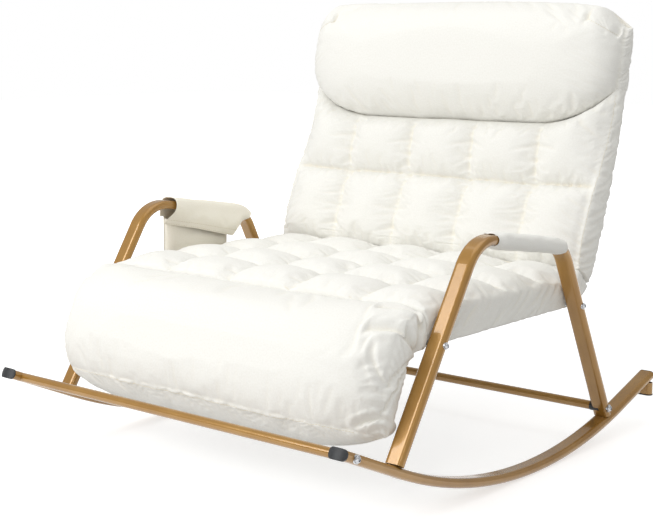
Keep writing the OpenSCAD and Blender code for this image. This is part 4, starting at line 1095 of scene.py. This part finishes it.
def sidePocket():
    look = {"front": -0.157, "rear": 0.050, "depth": 0.158, "outer": 0.0292, "outerEdge": 0.020,
            "mouth": 0.034, "mouthSag": 0.004, "gap": 0.003, "belly": 0.034, "folds": 0.004,
            "thickness": 0.0012, "flat": (0.216, 0.275)}
    count, rows = 60, 46
    y = np.linspace(look["front"], look["rear"], count)
    armZ, low = armHeight(y), armHeight(0.0) - look["depth"]
    outX = -(chair["sideX"] + look["outer"])
    sag = np.sqrt(dome((y - look["front"]) / (look["rear"] - look["front"]), 2.2))
    rings = []
    # the outer wall from the sleeve down, then the inner wall up to its sagging mouth
    for v in np.linspace(0, 1, rows):
        rings.append(np.stack([np.full(count, outX), y, mix(armZ - look["outerEdge"], low, v)], -1))
    for v in np.linspace(0, 1, rows):
        height = mix(low, armZ - look["mouth"] - look["mouthSag"] * sag, v)
        belly = look["belly"] * sag * np.clip(v * 1.6, 0, 1) ** 0.6 * (1 - 0.35 * smooth((v - 0.7) / 0.3))
        folds = look["folds"] * noiseAt(y * 24 + v, v * 2.2, 5.0) * np.clip(v * 3, 0, 1) * sag
        rings.append(np.stack([outX + look["gap"] + belly + folds, y, height], -1))
    rings = np.array(rings)
    rings[..., 1] += chair["originShift"]
    # the pocket takes the brighter, warmer canvas: painted light
    thinSheet("sidePocket", rings, cloths["paintedLightCanvas"], look["thickness"],
              "side_pocket")


sidePocket()
print("pocket made")


# floor, light and camera
def paleFloor():
    # lit as any floor, and shown nearly white to the camera by a glow; the glow is weaker near the chair,
    # which paints the floor a little darker round it as painted shade
    look = {"size": 30.0, "base": 0.68, "glow": (0.61, 1.15), "fade": (0.9, 2.6)}
    bpy.ops.mesh.primitive_plane_add(size=look["size"], location=(0, 0, -0.0004))
    floor = bpy.context.object
    floor.name = "floor"
    material, tree, shader = newMaterial("paleFloor")
    setInputs(shader, Base_Color=(*[look["base"]] * 3, 1), Roughness=0.9)
    rays = node(tree, "ShaderNodeLightPath").outputs
    place = node(tree, "ShaderNodeTexCoord")
    reach = node(tree, "ShaderNodeVectorMath", operation="LENGTH")
    link(tree, place.outputs["Object"], reach.inputs[0])
    # the glow grows with distance from the chair: painted shade near it, plain white far off
    fade = node(tree, "ShaderNodeMapRange", From_Min=look["fade"][0], From_Max=look["fade"][1],
                To_Min=look["glow"][0], To_Max=look["glow"][1])
    link(tree, reach.outputs["Value"], fade.inputs["Value"])
    glow = node(tree, "ShaderNodeEmission", Color=(1, 1, 1, 1))
    link(tree, fade.outputs["Result"], glow.inputs["Strength"])
    nothing = node(tree, "ShaderNodeEmission", Strength=0.0)
    seen = mathOf(tree, "MAXIMUM", rays["Is Camera Ray"], rays["Is Glossy Ray"])
    pick = node(tree, "ShaderNodeMixShader")
    link(tree, mathOf(tree, "MAXIMUM", seen, rays["Is Transmission Ray"]), pick.inputs[0])
    link(tree, nothing.outputs[0], pick.inputs[1])
    link(tree, glow.outputs[0], pick.inputs[2])
    both = node(tree, "ShaderNodeAddShader")
    link(tree, shader.outputs[0], both.inputs[0])
    link(tree, pick.outputs[0], both.inputs[1])
    link(tree, both.outputs[0], tree.nodes["Material Output"].inputs["Surface"])
    floor.data.materials.append(material)


def whiteStudio():
    # even light all round, and plain white where the camera sees past the floor
    look = {"color": (1.0, 0.995, 0.975, 1), "strength": 0.56}
    world = bpy.data.worlds.new("studio")
    scene.world = world
    world.use_nodes = True
    tree = world.node_tree
    rays = node(tree, "ShaderNodeLightPath").outputs
    ambient = tree.nodes["Background"]
    setInputs(ambient, Color=look["color"], Strength=look["strength"])
    white = node(tree, "ShaderNodeBackground", Color=(1, 1, 1, 1), Strength=1.0)
    pick = node(tree, "ShaderNodeMixShader")
    link(tree, mathOf(tree, "MAXIMUM", rays["Is Camera Ray"], rays["Is Transmission Ray"]), pick.inputs[0])
    link(tree, ambient.outputs[0], pick.inputs[1])
    link(tree, white.outputs[0], pick.inputs[2])
    link(tree, pick.outputs[0], tree.nodes["World Output"].inputs["Surface"])


def studioLamps():
    look = {
        "keyLight": {"place": (-1.3, -3.3, 2.6), "aim": (0, 0.1, 0.4), "size": 2.2, "power": 88.0},
        "fillLight": {"place": (3.4, -0.6, 1.5), "aim": (0, 0.1, 0.4), "size": 2.4, "power": 3.0},
        "topLight": {"place": (0.2, 0.3, 3.6), "aim": (0, 0.1, 0.3), "size": 3.0, "power": 28.0},
        "streakLight": {"place": (2.1, -3.0, 2.2), "aim": (0.3, -0.1, 0.3), "size": 0.4, "power": 9.0},
    }
    for name, lamp in look.items():
        data = bpy.data.lights.new(name, "AREA")
        data.size = lamp["size"]
        data.energy = lamp["power"]
        holder = bpy.data.objects.new(name, data)
        holder.location = lamp["place"]
        aim = Vector(lamp["aim"]) - Vector(lamp["place"])
        holder.rotation_euler = aim.to_track_quat("-Z", "Y").to_euler()
        scene.collection.objects.link(holder)


def photoCamera():
    look = {"place": (1.9237, -2.3592, 0.8958), "azimuth": 39.87, "elevation": 9.06, "lens": 76.18}
    data = bpy.data.cameras.new("photoCamera")
    data.lens = look["lens"]
    data.sensor_width = 36
    camera = bpy.data.objects.new("photoCamera", data)
    camera.location = look["place"]
    camera.rotation_euler = (math.radians(90 - look["elevation"]), 0, math.radians(look["azimuth"]))
    scene.collection.objects.link(camera)
    scene.camera = camera


paleFloor()
whiteStudio()
studioLamps()
photoCamera()
scene.view_settings.view_transform = "Standard"
print("stage, light and camera made")

bpy.context.view_layer.update()
